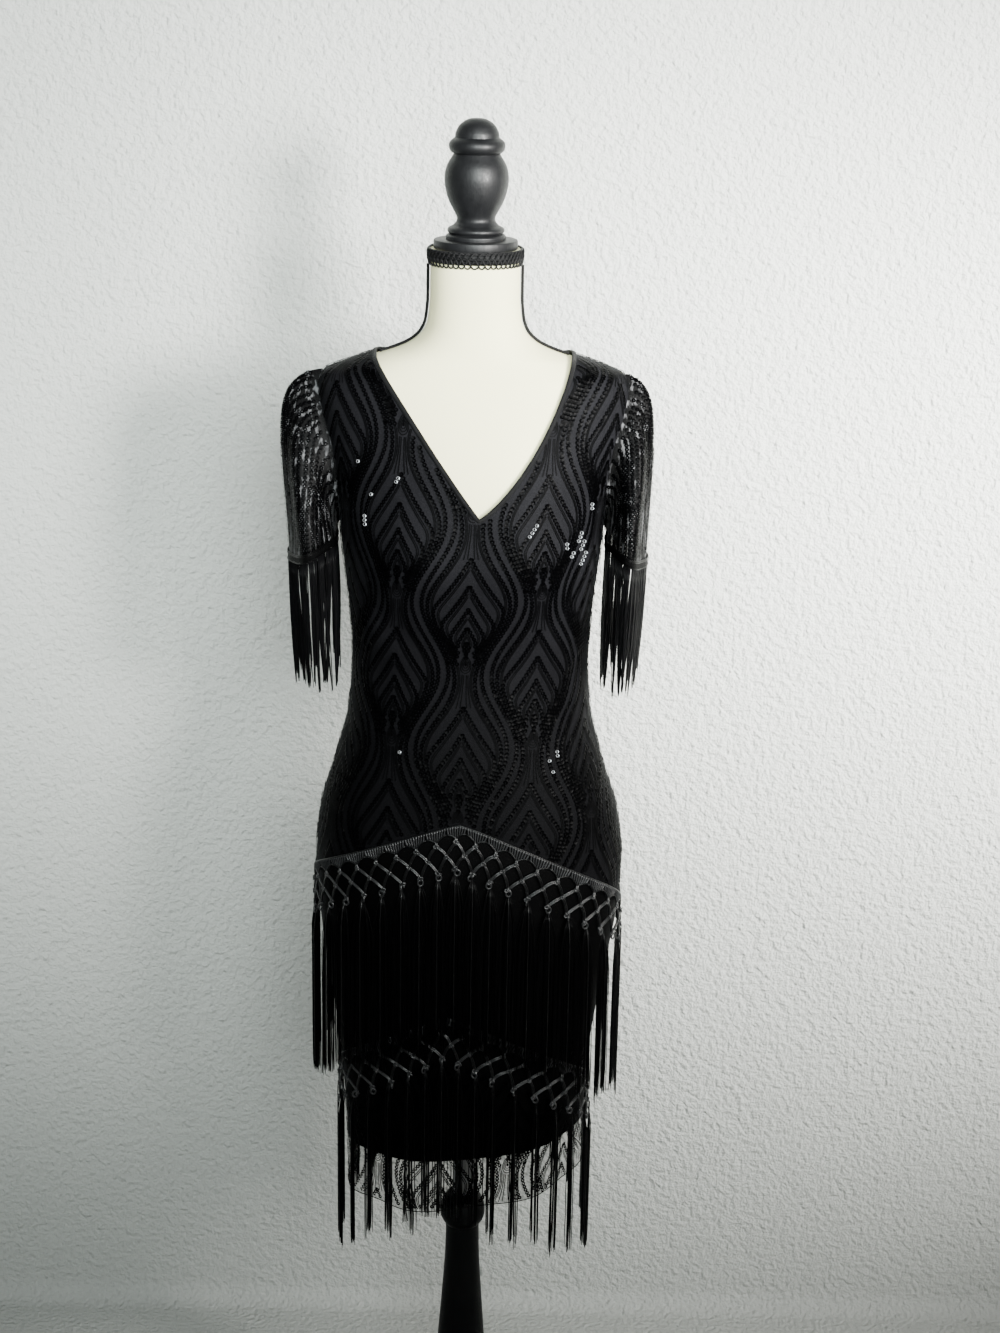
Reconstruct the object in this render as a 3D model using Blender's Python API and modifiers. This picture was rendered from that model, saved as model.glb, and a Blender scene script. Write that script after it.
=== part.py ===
# Sequin fringe dress worn by a limbless dress form on a turned stand.
# Metres, +Z up, front towards -Y. Origin: centre of the stand base, on the floor.
import math

import bmesh
import bpy
from mathutils import Vector

# Cloth and gaps
GAP = 0.0003
NET_WALL = 0.0012
LINING_WALL = 0.0010
LINING_STAND_OFF = 0.0008
SEAM_CLEARANCE = 1.2
SECTION_POWER = 2.25

# The dress's outer face, from hem to neck, as rings round the pole.
# half: half width in X. front, back: depth towards -Y and +Y. ease: from here in to the form.
SECTION_COLUMNS = ("z", "half", "front", "back", "ease")
SECTIONS = (
    (0.400, 0.1400, 0.1120, 0.1180, 0.0100),
    (0.480, 0.1430, 0.1130, 0.1190, 0.0100),
    (0.580, 0.1500, 0.1160, 0.1250, 0.0100),
    (0.680, 0.1630, 0.1210, 0.1340, 0.0080),
    (0.760, 0.1735, 0.1235, 0.1405, 0.0060),
    (0.830, 0.1770, 0.1225, 0.1420, 0.0050),
    (0.885, 0.1725, 0.1180, 0.1340, 0.0055),
    (0.942, 0.1560, 0.1110, 0.1180, 0.0065),
    (1.010, 0.1400, 0.1010, 0.1010, 0.0070),
    (1.070, 0.1350, 0.0980, 0.0950, 0.0070),
    (1.130, 0.1385, 0.1060, 0.0990, 0.0070),
    (1.205, 0.1465, 0.1180, 0.1070, 0.0070),
    (1.270, 0.1530, 0.1140, 0.1110, 0.0060),
    (1.320, 0.1620, 0.1010, 0.1080, 0.0050),
    (1.355, 0.1700, 0.0860, 0.0970, 0.0045),
    (1.380, 0.1720, 0.0750, 0.0840, 0.0045),
    (1.396, 0.1670, 0.0680, 0.0750, 0.0044),
    (1.403, 0.1520, 0.0645, 0.0710, 0.0044),
    (1.412, 0.1270, 0.0610, 0.0660, 0.0044),
    (1.418, 0.1080, 0.0590, 0.0620, 0.0036),
    (1.4235, 0.0870, 0.0570, 0.0590, 0.0022),
    (1.430, 0.0700, 0.0550, 0.0565, 0.0008),
    (1.441, 0.0570, 0.0520, 0.0545, 0.0),
    (1.455, 0.0515, 0.0500, 0.0525, 0.0),
    (1.480, 0.0492, 0.0480, 0.0505, 0.0),
    (1.531, 0.0490, 0.0475, 0.0500, 0.0),
)

# Bust: a soft mound either side of the centre front
BUST_Z = 1.205
BUST_X = 0.070
BUST_RISE = 0.009
BUST_SPREAD_X = 0.046
BUST_SPREAD_Z = 0.055

# The right hip is a little fuller than the left
RIGHT_HIP_Z = 0.800
RIGHT_HIP_RISE = 0.0045
RIGHT_HIP_SPREAD = 0.100

# The hem: its height, and the waves that the free edge hangs in
HEM_Z = 0.415
HEM_SIDE_RISE = {"right": 0.022, "left": -0.014}
HEM_WAVES = 7
HEM_WAVE_DEPTH = 0.0045
HEM_WAVE_REACH = 0.150

# Largest drag folds, as soft troughs. angle is from +X towards the front.
FOLD_COLUMNS = ("angle", "z", "tilt", "length", "width", "depth")
FOLDS = (
    (150.0, 1.085, 28.0, 0.055, 0.0150, 0.0030),
    (34.0, 1.060, -24.0, 0.050, 0.0150, 0.0028),
    (128.0, 1.130, 40.0, 0.050, 0.0140, 0.0024),
    (52.0, 1.135, -38.0, 0.045, 0.0130, 0.0022),
    (156.0, 0.985, 16.0, 0.050, 0.0150, 0.0026),
    (22.0, 0.990, -18.0, 0.045, 0.0140, 0.0026),
    (205.0, 1.075, -20.0, 0.050, 0.0150, 0.0028),
    (333.0, 1.085, 22.0, 0.055, 0.0150, 0.0028),
    (246.0, 1.040, -8.0, 0.060, 0.0140, 0.0024),
    (290.0, 1.030, 10.0, 0.055, 0.0140, 0.0024),
)

# Neckline and armholes
NECK_CORNER_X = 0.108
NECK_CORNER_Z = 1.418
V_BOTTOM_X = 0.0095
V_BOTTOM_Z = 1.2570
V_BOW = {"right": 0.0175, "left": 0.001}
V_BOW_SHIFT = 0.8
BACK_NECK_Z = 1.398
BACK_RISE_ROWS = 5
SHOULDER_TIP_Z = 1.396
UNDERARM_Z = 1.225
ARMHOLE_INSET = 0.085
BINDING_WIDTH = 0.0045
V_SLANT = 1.7
BINDING_WALL = 0.0010
BINDING_STAND_OFF = 0.0011

# Panel grids
PANEL_ROWS = 13
PANEL_UPPER_ROWS = 9
UPPER_ROW_CROWDING = 1.4
HALF_COLUMNS = 8

# Lining skirt, where it shows: from its hem up to just below the form, in rows of the panel grid
LINING_HEM_ROW = 1
LINING_TOP_ROW = 5

# Sleeves. flare moves the hem outwards on its own side.
SLEEVE_COLUMNS = 2 * PANEL_UPPER_ROWS
SLEEVE_ROWS = 6
SLEEVE_HEM_X = 0.1795
SLEEVE_HEM_Z = 1.1960
SLEEVE_HEM_TILT = 0.0110
SLEEVE_HEM_HALF_WIDTH = 0.0275
SLEEVE_HEM_HALF_DEPTH = 0.0700
SLEEVE_CAP = {"left": 0.0640, "right": 0.0400}
SLEEVE_CAP_FALL = 0.0070
SLEEVE_SIDE_SWELL = 0.0100
SLEEVE_SIDE_SHARE = 0.45
SLEEVE_DROP_SIDE_SHARE = 0.35
SLEEVE_UNDERARM_SHARE = 0.12
SLEEVE_DROP = 0.1150
SLEEVE_WAVES = 5
SLEEVE_WAVE_DEPTH = 0.0022
SLEEVE_FLARE = {"left": -0.0040, "right": -0.0120}

# Knotted fringe: header, netted cords, strands
HEADER_HEIGHT = 0.0105
HEADER_WALL = 0.0020
HEADER_STAND_OFF = 0.0010
STRAND_STAND_OFF = 0.0020
FAN_DROP = 0.0040
FAN_HALF = 0.0022
HEADER_NEAR = 0.01
FRINGE_PITCH = 0.0248
KNOT_HALF = 0.0024
KNOT_ROW_DROPS = (0.0185, 0.0325, 0.0500)
LATTICE_LEAN = 0.75
LEAN_REACH = 0.16
STRAND_WIDTH = 0.0040
STRAND_STEPS = 2
TIP_SPREAD = 0.012
TIER_COLUMNS = ("peak_x", "peak_z", "right_z", "left_z", "bend", "right_reach", "left_reach")
TIERS = {
    "upper_fringe_front": (-0.008, 0.9050, 0.7720, 0.8080, 1.22, 0.265, 0.272),
    "upper_fringe_back": (0.006, 0.9000, 0.7720, 0.8080, 1.15, 0.265, 0.272),
    "lower_fringe_front": (-0.019, 0.6700, 0.5400, 0.5560, 1.12, 0.250, 0.262),
    "lower_fringe_back": (0.008, 0.6650, 0.5400, 0.5560, 1.12, 0.250, 0.262),
}
SLEEVE_STRANDS = 26
SLEEVE_FRINGE_REACH = 0.158
SLEEVE_HEADER_HEIGHT = 0.0085
SLEEVE_HEADER_STAND_OFF = 0.0012
SLEEVE_STRAND_STEPS = 1
SLEEVE_STRAND_LEAN = 0.0080

# Dress form and stand. The neck band's rows: share of its height down, share of its wall.
FORM_BOTTOM_Z = 0.745
FORM_CHEST_Z = 1.300
FORM_TOP_Z = 1.531
NECK_STRAIGHT_Z = 1.490
FORM_COLUMNS = 28
FORM_LOWER_ROWS = 11
NECK_BAND_HEIGHT = 0.0180
NECK_BAND_WALL = 0.0032
NECK_BAND_ROWS = ((1.0, 0.75), (0.5, 1.0), (0.0, 0.75))
PIPING_RADIUS = 0.0019
PIPING_END_Z = 1.4190
DISC_RADIUS = 0.046
DISC_THICKNESS = 0.0100
FINIAL_TOP_Z = 1.6700
POLE_RADIUS = 0.0125
POST_TOP_Z = 0.3740
BASE_TOP_Z = 0.0360
DISC_EDGE = 0.0015
TURN_STEPS = 22

# Turned outlines, down the outer side from the top
PROFILE_COLUMNS = ("radius", "below_top")
FINIAL_PROFILE = (
    (0.0000, 0.0000),
    (0.0100, 0.0015),
    (0.0185, 0.0070),
    (0.0230, 0.0145),
    (0.0240, 0.0205),
    (0.0291, 0.0247),
    (0.0305, 0.0295),
    (0.0291, 0.0343),
    (0.0253, 0.0377),
    (0.0275, 0.0415),
    (0.0325, 0.0505),
    (0.0348, 0.0625),
    (0.0338, 0.0740),
    (0.0305, 0.0860),
    (0.0250, 0.0970),
    (0.0213, 0.1040),
    (0.0213, 0.1090),
    (0.0250, 0.1135),
    (0.0302, 0.1165),
    (0.0310, 0.1200),
    (0.0290, 0.1222),
    (0.0325, 0.1245),
)
POST_PROFILE = (
    (0.0000, 0.0000),
    (0.0178, 0.0000),
    (0.0228, 0.0070),
    (0.0261, 0.0148),
    (0.0276, 0.0221),
    (0.0272, 0.0294),
    (0.0248, 0.0364),
    (0.0206, 0.0425),
    (0.0205, 0.0570),
    (0.0222, 0.1040),
    (0.0290, 0.2020),
    (0.0335, 0.2640),
    (0.0350, 0.2890),
    (0.0410, 0.3100),
    (0.0540, 0.3240),
    (0.0600, 0.3270),
)
BASE_PROFILE = (
    (0.0000, 0.0000),
    (0.1450, 0.0000),
    (0.1640, 0.0025),
    (0.1710, 0.0075),
    (0.1768, 0.0112),
    (0.1809, 0.0138),
    (0.1838, 0.0177),
    (0.1850, 0.0225),
    (0.1843, 0.0273),
)

# name: colour, metallic, roughness
MATERIALS = {
    "sequin_net": ((0.020, 0.020, 0.022), 0.0, 0.55),
    "binding": ((0.012, 0.012, 0.013), 0.0, 0.60),
    "lining": ((0.010, 0.010, 0.011), 0.0, 0.75),
    "fringe": ((0.014, 0.014, 0.015), 0.0, 0.45),
    "gimp": ((0.012, 0.012, 0.012), 0.0, 0.65),
    "jersey": ((0.870, 0.820, 0.690), 0.0, 0.80),
    "black_wood": ((0.020, 0.019, 0.019), 0.0, 0.38),
    "steel": ((0.300, 0.300, 0.310), 1.0, 0.35),
}


# Setting up

def clear_scene():
    for old in list(bpy.data.objects):
        bpy.data.objects.remove(old, do_unlink=True)


def make_material(name):
    colour, metallic, roughness = MATERIALS[name]
    material = bpy.data.materials.new(name)
    material.use_nodes = True
    shader = material.node_tree.nodes["Principled BSDF"]
    shader.inputs["Base Color"].default_value = (*colour, 1.0)
    shader.inputs["Metallic"].default_value = metallic
    shader.inputs["Roughness"].default_value = roughness
    material.diffuse_color = (*colour, 1.0)
    return material


clear_scene()
COLLECTION = bpy.data.collections.new("sequin_fringe_dress")
bpy.context.scene.collection.children.link(COLLECTION)
SLOTS = {name: make_material(name) for name in MATERIALS}


def add_mesh(name, points, faces, slot):
    """A new object from points and faces, with doubled points joined."""
    mesh = bpy.data.meshes.new(name)
    shape = bmesh.new()
    corners = [shape.verts.new(point) for point in points]
    for face in faces:
        shape.faces.new([corners[index] for index in face])
    bmesh.ops.remove_doubles(shape, verts=shape.verts, dist=0.00002)
    shape.to_mesh(mesh)
    shape.free()
    mesh.materials.append(SLOTS[slot])
    item = bpy.data.objects.new(name, mesh)
    COLLECTION.objects.link(item)
    return item


def thicken(item, wall):
    """Gives an open sheet its wall, inwards from the drawn outer face."""
    solidify = item.modifiers.new("wall", "SOLIDIFY")
    solidify.thickness = wall
    solidify.offset = -1.0
    solidify.use_even_offset = True
    solidify.use_rim = True
    item.data.shade_smooth()
    item.data.set_sharp_from_angle(angle=math.radians(50))
    return item


def clear_seams(item, wall):
    """Moves seam edges back until the tilted inner edge of the wall stays on its own side."""
    normals = [normal.vector.copy() for normal in item.data.vertex_normals]
    for vertex, normal in zip(item.data.vertices, normals):
        if abs(vertex.co.y) < GAP:
            vertex.co.y += SEAM_CLEARANCE * wall * normal.y


# The body's surface

def column(table, columns, name):
    place = columns.index(name)
    return [row[place] for row in table]


def levels_of_sections():
    """How far along the side outline each section lies."""
    heights = column(SECTIONS, SECTION_COLUMNS, "z")
    halves = column(SECTIONS, SECTION_COLUMNS, "half")
    levels = [0.0]
    for index in range(1, len(heights)):
        step = math.hypot(heights[index] - heights[index - 1], halves[index] - halves[index - 1])
        levels.append(levels[-1] + step)
    return levels


def slopes_of(levels, values):
    """Slopes for a smooth curve that does not overshoot its points."""
    chords = []
    for index in range(len(levels) - 1):
        chords.append((values[index + 1] - values[index]) / (levels[index + 1] - levels[index]))
    slopes = [chords[0]]
    for before, after in zip(chords, chords[1:]):
        if before * after <= 0.0:
            slopes.append(0.0)
        else:
            slopes.append(2.0 * before * after / (before + after))
    slopes.append(chords[-1])
    return slopes


LEVELS = levels_of_sections()
CURVES = {}
for column_name in SECTION_COLUMNS:
    column_values = column(SECTIONS, SECTION_COLUMNS, column_name)
    CURVES[column_name] = (column_values, slopes_of(LEVELS, column_values))


def section_value(name, level):
    """A section's size at a level along the outline."""
    values, slopes = CURVES[name]
    level = min(max(level, LEVELS[0]), LEVELS[-1])
    index = 0
    while index < len(LEVELS) - 2 and level > LEVELS[index + 1]:
        index += 1
    span = LEVELS[index + 1] - LEVELS[index]
    t = (level - LEVELS[index]) / span
    start, end = values[index], values[index + 1]
    start_slope, end_slope = slopes[index] * span, slopes[index + 1] * span
    return (
        start * (2 * t ** 3 - 3 * t ** 2 + 1)
        + start_slope * (t ** 3 - 2 * t ** 2 + t)
        + end * (3 * t ** 2 - 2 * t ** 3)
        + end_slope * (t ** 3 - t ** 2)
    )


def level_at(z):
    """The level whose section lies at height z."""
    low, high = LEVELS[0], LEVELS[-1]
    for _ in range(40):
        middle = (low + high) / 2
        if section_value("z", middle) < z:
            low = middle
        else:
            high = middle
    return (low + high) / 2


def signed_power(value, power):
    return math.copysign(abs(value) ** power, value)


def hem_wave(angle, z):
    """How far the free hem swings in and out."""
    fade = max(0.0, 1.0 - (z - HEM_Z) / HEM_WAVE_REACH)
    swing = math.sin(HEM_WAVES * angle + 0.8) + 0.4 * math.sin(3 * angle + 2.0)
    return HEM_WAVE_DEPTH * fade ** 1.5 * swing


def fold_depth(angle, z, radius):
    """How far the drag folds draw the cloth in."""
    depth = 0.0
    for row in FOLDS:
        fold = dict(zip(FOLD_COLUMNS, row))
        turn = angle - math.radians(fold["angle"])
        turn = math.atan2(math.sin(turn), math.cos(turn))
        across, up = turn * radius, z - fold["z"]
        tilt = math.radians(fold["tilt"])
        along = across * math.cos(tilt) + up * math.sin(tilt)
        aside = up * math.cos(tilt) - across * math.sin(tilt)
        depth += fold["depth"] * math.exp(-(along / fold["length"]) ** 2 - (aside / fold["width"]) ** 2)
    return depth


def smooth_point(angle, level):
    """The body's outline surface without folds. angle runs from +X to the front, -Y."""
    half = section_value("half", level)
    z = section_value("z", level)
    depth = section_value("front" if math.sin(angle) > 0.0 else "back", level)
    x = half * signed_power(math.cos(angle), 2.0 / SECTION_POWER)
    y = -depth * signed_power(math.sin(angle), 2.0 / SECTION_POWER)
    if x > 0.0:
        x += RIGHT_HIP_RISE * (x / half) ** 2 * math.exp(-((z - RIGHT_HIP_Z) / RIGHT_HIP_SPREAD) ** 2)
    if math.sin(angle) > 0.0:
        high = math.exp(-((z - BUST_Z) / BUST_SPREAD_Z) ** 2)
        for side in (-1, 1):
            y -= BUST_RISE * high * math.sin(angle) * math.exp(-((x - side * BUST_X) / BUST_SPREAD_X) ** 2)
    return Vector((x, y, z))


def normal_at(angle, level):
    """Outward normal of the smooth surface."""
    turn, rise = 0.02, 0.002
    across = smooth_point(angle + turn, level) - smooth_point(angle - turn, level)
    up = smooth_point(angle, level + rise) - smooth_point(angle, level - rise)
    normal = up.cross(across)
    return normal.normalized()


def body_point(angle, level, out=0.0, folds=True):
    """A point of the dress's outer face, moved out along the normal."""
    point = smooth_point(angle, level)
    move = out
    if folds:
        radius = math.hypot(point.x, point.y)
        move += hem_wave(angle, point.z) - fold_depth(angle, point.z, radius)
    return point + normal_at(angle, level) * move


ARC_SAMPLES = 96


def arc_table(side, level):
    """Share of the way round the front or back, from +X to -X, at even steps of angle."""
    sign = 1 if side == "front" else -1
    total, table = 0.0, [0.0]
    last = smooth_point(0.0, level)
    for index in range(1, ARC_SAMPLES + 1):
        point = smooth_point(sign * math.pi * index / ARC_SAMPLES, level)
        total += (point - last).length
        table.append(total)
        last = point
    return [length / total for length in table], total


ARC_CACHE = {}


def arcs(side, level):
    key = (side, round(level, 5))
    if key not in ARC_CACHE:
        ARC_CACHE[key] = arc_table(side, level)
    return ARC_CACHE[key]


def angle_at(side, share, level):
    """The angle that lies a given share of the way from +X round to -X."""
    table, _ = arcs(side, level)
    share = min(max(share, 0.0), 1.0)
    index = 0
    while index < ARC_SAMPLES - 1 and share > table[index + 1]:
        index += 1
    part = (share - table[index]) / (table[index + 1] - table[index])
    sign = 1 if side == "front" else -1
    return sign * math.pi * (index + part) / ARC_SAMPLES


def share_at_x(side, x, level):
    """The share of the way round at which the surface reaches x."""
    low, high = 0.0, 1.0
    for _ in range(30):
        middle = (low + high) / 2
        if smooth_point(angle_at(side, middle, level), level).x > x:
            low = middle
        else:
            high = middle
    return (low + high) / 2


def cloth_point(side, share, level, out=0.0):
    """A point of a panel, kept half a gap off the side seams' plane."""
    point = body_point(angle_at(side, share, level), level, out)
    if side == "front":
        point.y = min(point.y, -GAP / 2)
    else:
        point.y = max(point.y, GAP / 2)
    return point


# Dress panels

def neckline(side, hand, t):
    """Share and level of the neck edge: t runs from the middle up to the shoulder corner."""
    sign = 1 if hand == "right" else -1
    if side == "front":
        u = t ** V_BOW_SHIFT
        swell = 4 * u * (1 - u) * V_BOW[hand]
        x = V_BOTTOM_X + (sign * NECK_CORNER_X - V_BOTTOM_X) * t + sign * swell
        z = V_BOTTOM_Z + (NECK_CORNER_Z - V_BOTTOM_Z) * t
    else:
        x = sign * NECK_CORNER_X * math.sin(t * math.pi / 2)
        z = NECK_CORNER_Z - (NECK_CORNER_Z - BACK_NECK_Z) * math.cos(t * math.pi / 2) ** 1.5
    level = level_at(z)
    if t >= 1.0:
        return (0.0 if hand == "right" else 1.0), level
    return share_at_x(side, x, level), level


def armhole(side, hand, t):
    """Share and level of the armhole edge: t runs from the underarm up to the shoulder tip."""
    level = level_at(UNDERARM_Z) * (1 - t) + level_at(SHOULDER_TIP_Z) * t
    inset = ARMHOLE_INSET * math.sin(math.pi * t ** 0.85)
    return (inset if hand == "right" else 1.0 - inset), level


def crowded_steps(path, count):
    """Values of t at which a path is cut into steps that shorten towards its end."""
    samples = 120
    lengths = [0.0]
    last = path(0.0)
    for index in range(1, samples + 1):
        point = path(index / samples)
        lengths.append(lengths[-1] + (point - last).length)
        last = point
    steps, index = [], 0
    for step in range(count + 1):
        way = lengths[-1] * (1.0 - (1.0 - step / count) ** UPPER_ROW_CROWDING)
        while index < samples - 1 and lengths[index + 1] < way:
            index += 1
        part_way = (way - lengths[index]) / (lengths[index + 1] - lengths[index])
        steps.append((index + min(part_way, 1.0)) / samples)
    return steps


def edge_points(edge, side, hand):
    """Share and level along the neckline or armhole, at each upper row."""
    def path(t):
        share, level = edge(side, hand, t)
        return smooth_point(angle_at(side, share, level), level)
    count = PANEL_UPPER_ROWS
    if edge is neckline and side == "back":
        count -= BACK_RISE_ROWS
    return [edge(side, hand, t) for t in crowded_steps(path, count)]


def back_inner(hand, row):
    """Inner edge of the back's upper rows: up the middle, then out along the neck edge."""
    if row < BACK_RISE_ROWS:
        low, high = level_at(UNDERARM_Z), neckline("back", hand, 0.0)[1]
        return 0.5, low + (high - low) * row / BACK_RISE_ROWS
    return edge_points(neckline, "back", hand)[row - BACK_RISE_ROWS]


def panel_grid(side, hand):
    """Rows of share and level for one hand's half of a panel, from the middle out to the side."""
    edge_share = 0.0 if hand == "right" else 1.0
    hem_level = level_at(HEM_Z)
    side_hem_level = level_at(HEM_Z + HEM_SIDE_RISE[hand])
    middle_level = neckline(side, hand, 0.0)[1] if side == "front" else level_at(UNDERARM_Z)
    rows = []
    for row in range(PANEL_ROWS):
        t = row / PANEL_ROWS
        inner = (0.5, hem_level + (middle_level - hem_level) * t)
        outer = (edge_share, side_hem_level + (level_at(UNDERARM_Z) - side_hem_level) * t)
        rows.append((inner, outer))
    outer_edge = edge_points(armhole, side, hand)
    inner_edge = edge_points(neckline, side, hand)
    for row in range(PANEL_UPPER_ROWS + 1):
        inner = inner_edge[row] if side == "front" else back_inner(hand, row)
        rows.append((inner, outer_edge[row]))
    grid = []
    for inner, outer in rows:
        line = []
        for index in range(HALF_COLUMNS + 1):
            c = index / HALF_COLUMNS
            share = inner[0] + (outer[0] - inner[0]) * c
            level = inner[1] + (outer[1] - inner[1]) * c
            line.append((share, level))
        grid.append(line)
    return grid


def panel_points(side, hand, rows=None, out=0.0):
    """The grid's points, moved out by the same distance everywhere."""
    grid = panel_grid(side, hand)
    if rows is not None:
        grid = grid[rows[0]:rows[1] + 1]
    return [[cloth_point(side, share, level, out) for share, level in line] for line in grid]


def grid_faces(rows, columns, flip):
    faces = []
    for row in range(rows - 1):
        for index in range(columns - 1):
            a = row * columns + index
            b = a + 1
            c = a + columns + 1
            d = a + columns
            faces.append((a, d, c, b) if flip else (a, b, c, d))
    return faces


def panel_sheet(name, side, slot, wall, rows=None, out=0.0):
    """Both hands' grids joined along the middle, with a wall."""
    points, faces = [], []
    for hand in ("right", "left"):
        grid = panel_points(side, hand, rows, out)
        start = len(points)
        for line in grid:
            points.extend(line)
        flip = (hand == "left") == (side == "front")
        for face in grid_faces(len(grid), HALF_COLUMNS + 1, flip):
            faces.append(tuple(start + index for index in face))
    item = add_mesh(name, points, faces, slot)
    clear_seams(item, wall)
    return thicken(item, wall)


def dress_panel(side):
    return panel_sheet("dress_" + side, side, "sequin_net", NET_WALL)


def lining_panel(side):
    """The opaque skirt just inside the net, below the form."""
    rows = (LINING_HEM_ROW, LINING_TOP_ROW)
    return panel_sheet("lining_" + side, side, "lining", LINING_WALL, rows, -(NET_WALL + LINING_STAND_OFF))


def edge_strip(side, hand):
    """Points along a panel's neck edge and a binding's width inside it, lying on the panel."""
    grid = panel_points(side, hand)
    raised = panel_points(side, hand, None, BINDING_STAND_OFF + BINDING_WALL)
    first = PANEL_ROWS if side == "front" else PANEL_ROWS + BACK_RISE_ROWS
    strip = []
    for row in range(first, len(grid)):
        if row == first:
            beside, beside_raised = grid[row - 1][0], raised[row - 1][0]
        else:
            beside, beside_raised = grid[row][1], raised[row][1]
        slant = V_SLANT if row < len(grid) - 1 else 1.0
        part_way = BINDING_WIDTH * slant / (beside - grid[row][0]).length
        strip.append((raised[row][0], raised[row][0].lerp(beside_raised, part_way)))
    return strip


def neck_binding():
    """A narrow strip that lies on the panels along the whole neck edge."""
    ring = edge_strip("front", "right")
    ring += list(reversed(edge_strip("back", "right")))[1:]
    ring += edge_strip("back", "left")[1:]
    ring += list(reversed(edge_strip("front", "left")))[1:-1]
    count = len(ring)
    points = [edge for edge, _ in ring] + [low for _, low in ring]
    faces = []
    for index in range(count):
        after = (index + 1) % count
        faces.append((index, count + index, count + after, after))
    return thicken(add_mesh("neck_binding", points, faces, "binding"), BINDING_WALL)


# Sleeves

def armhole_loop(hand):
    """Points and normals round the armhole, from the shoulder tip down the front and up the back."""
    front = edge_points(armhole, "front", hand)
    back = edge_points(armhole, "back", hand)
    loop = [("front", share, level) for share, level in reversed(front)]
    loop += [("back", share, level) for share, level in back[1:-1]]
    result = []
    for side, share, level in loop:
        angle = angle_at(side, share, level)
        result.append((body_point(angle, level), normal_at(angle, level)))
    return result


def sleeve_hem_point(hand, turn, out=0.0, drop=0.0):
    """A point of the sleeve's hem. turn is 0 at the outer side and grows towards the front."""
    sign = 1 if hand == "right" else -1
    wave = SLEEVE_WAVE_DEPTH * math.sin(SLEEVE_WAVES * turn + 0.6)
    half_width = SLEEVE_HEM_HALF_WIDTH + out + wave
    half_depth = SLEEVE_HEM_HALF_DEPTH + out + wave
    x = SLEEVE_HEM_X + SLEEVE_FLARE[hand] * (1 + math.cos(turn)) / 2 + half_width * math.cos(turn)
    y = -half_depth * math.sin(turn)
    z = SLEEVE_HEM_Z - SLEEVE_HEM_TILT * math.cos(turn) - drop
    return Vector((sign * x, y, z))


def sleeve_point(hand, start, normal, turn, t):
    """A point down one column of the sleeve, from the armhole to the hem."""
    sign = 1 if hand == "right" else -1
    top = max(0.0, math.cos(turn))
    low = max(0.0, -math.cos(turn))
    beneath = 1 - (1 - SLEEVE_UNDERARM_SHARE) * low
    reach = SLEEVE_CAP[hand] * (SLEEVE_SIDE_SHARE + (1 - SLEEVE_SIDE_SHARE) * top) * beneath
    drop = SLEEVE_DROP * (SLEEVE_DROP_SIDE_SHARE + (1 - SLEEVE_DROP_SIDE_SHARE) * top) * beneath
    begin = start + normal * (2 * GAP + NET_WALL * (1 - low))
    first = begin + Vector((sign * reach, 0.0, -SLEEVE_CAP_FALL * top))
    first += normal * SLEEVE_SIDE_SWELL * (1 - top) * (1 - low)
    end = sleeve_hem_point(hand, turn)
    second = end + Vector((0.0, 0.0, drop))
    s = 1.0 - t
    return begin * s ** 3 + first * 3 * s * s * t + second * 3 * s * t * t + end * t ** 3


def sleeve(hand):
    loop = armhole_loop(hand)
    points = []
    for row in range(SLEEVE_ROWS + 1):
        t = row / SLEEVE_ROWS
        for index, (start, normal) in enumerate(loop):
            turn = 2 * math.pi * index / SLEEVE_COLUMNS
            points.append(sleeve_point(hand, start, normal, turn, t))
    faces = []
    for row in range(SLEEVE_ROWS):
        for index in range(SLEEVE_COLUMNS):
            after = (index + 1) % SLEEVE_COLUMNS
            a = row * SLEEVE_COLUMNS + index
            b = row * SLEEVE_COLUMNS + after
            c, d = b + SLEEVE_COLUMNS, a + SLEEVE_COLUMNS
            faces.append((a, b, c, d) if hand == "right" else (a, d, c, b))
    return thicken(add_mesh("sleeve_" + hand, points, faces, "sequin_net"), NET_WALL)


def sleeve_fringe(hand):
    """A header ring just outside the sleeve's hem, with strands from its lower edge."""
    sign = 1 if hand == "right" else -1
    columns = 2 * SLEEVE_STRANDS
    out = SLEEVE_HEADER_STAND_OFF + HEADER_WALL
    turns = [2 * math.pi * index / columns for index in range(columns)]
    points = [sleeve_hem_point(hand, turn, out, -SLEEVE_HEADER_HEIGHT) for turn in turns]
    points += [sleeve_hem_point(hand, turn, out, GAP) for turn in turns]
    faces = []

    def face(*corners):
        faces.append(corners if hand == "right" else tuple(reversed(corners)))

    for index in range(columns):
        after = (index + 1) % columns
        face(index, after, columns + after, columns + index)
    for index in range(SLEEVE_STRANDS):
        root = (columns + 2 * index, columns + 2 * index + 1)
        reach = SLEEVE_FRINGE_REACH - TIP_SPREAD * 0.5 * (1 + math.sin(2.4 * index + 0.7))
        previous = root
        for step in range(1, SLEEVE_STRAND_STEPS + 1):
            drop = reach * step / SLEEVE_STRAND_STEPS
            pair = (len(points), len(points) + 1)
            for share in (0.2, 0.8):
                point = points[root[0]].lerp(points[root[1]], share)
                outer_side = (1 + math.cos(turns[2 * index])) / 2
                lean = SLEEVE_STRAND_LEAN * outer_side * step / SLEEVE_STRAND_STEPS
                points.append(Vector((point.x - sign * lean, point.y, SLEEVE_HEM_Z - drop)))
            face(previous[0], previous[1], pair[1], pair[0])
            previous = pair
    return thicken(add_mesh("sleeve_fringe_" + hand, points, faces, "fringe"), HEADER_WALL)


# Knotted fringe tiers

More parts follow.
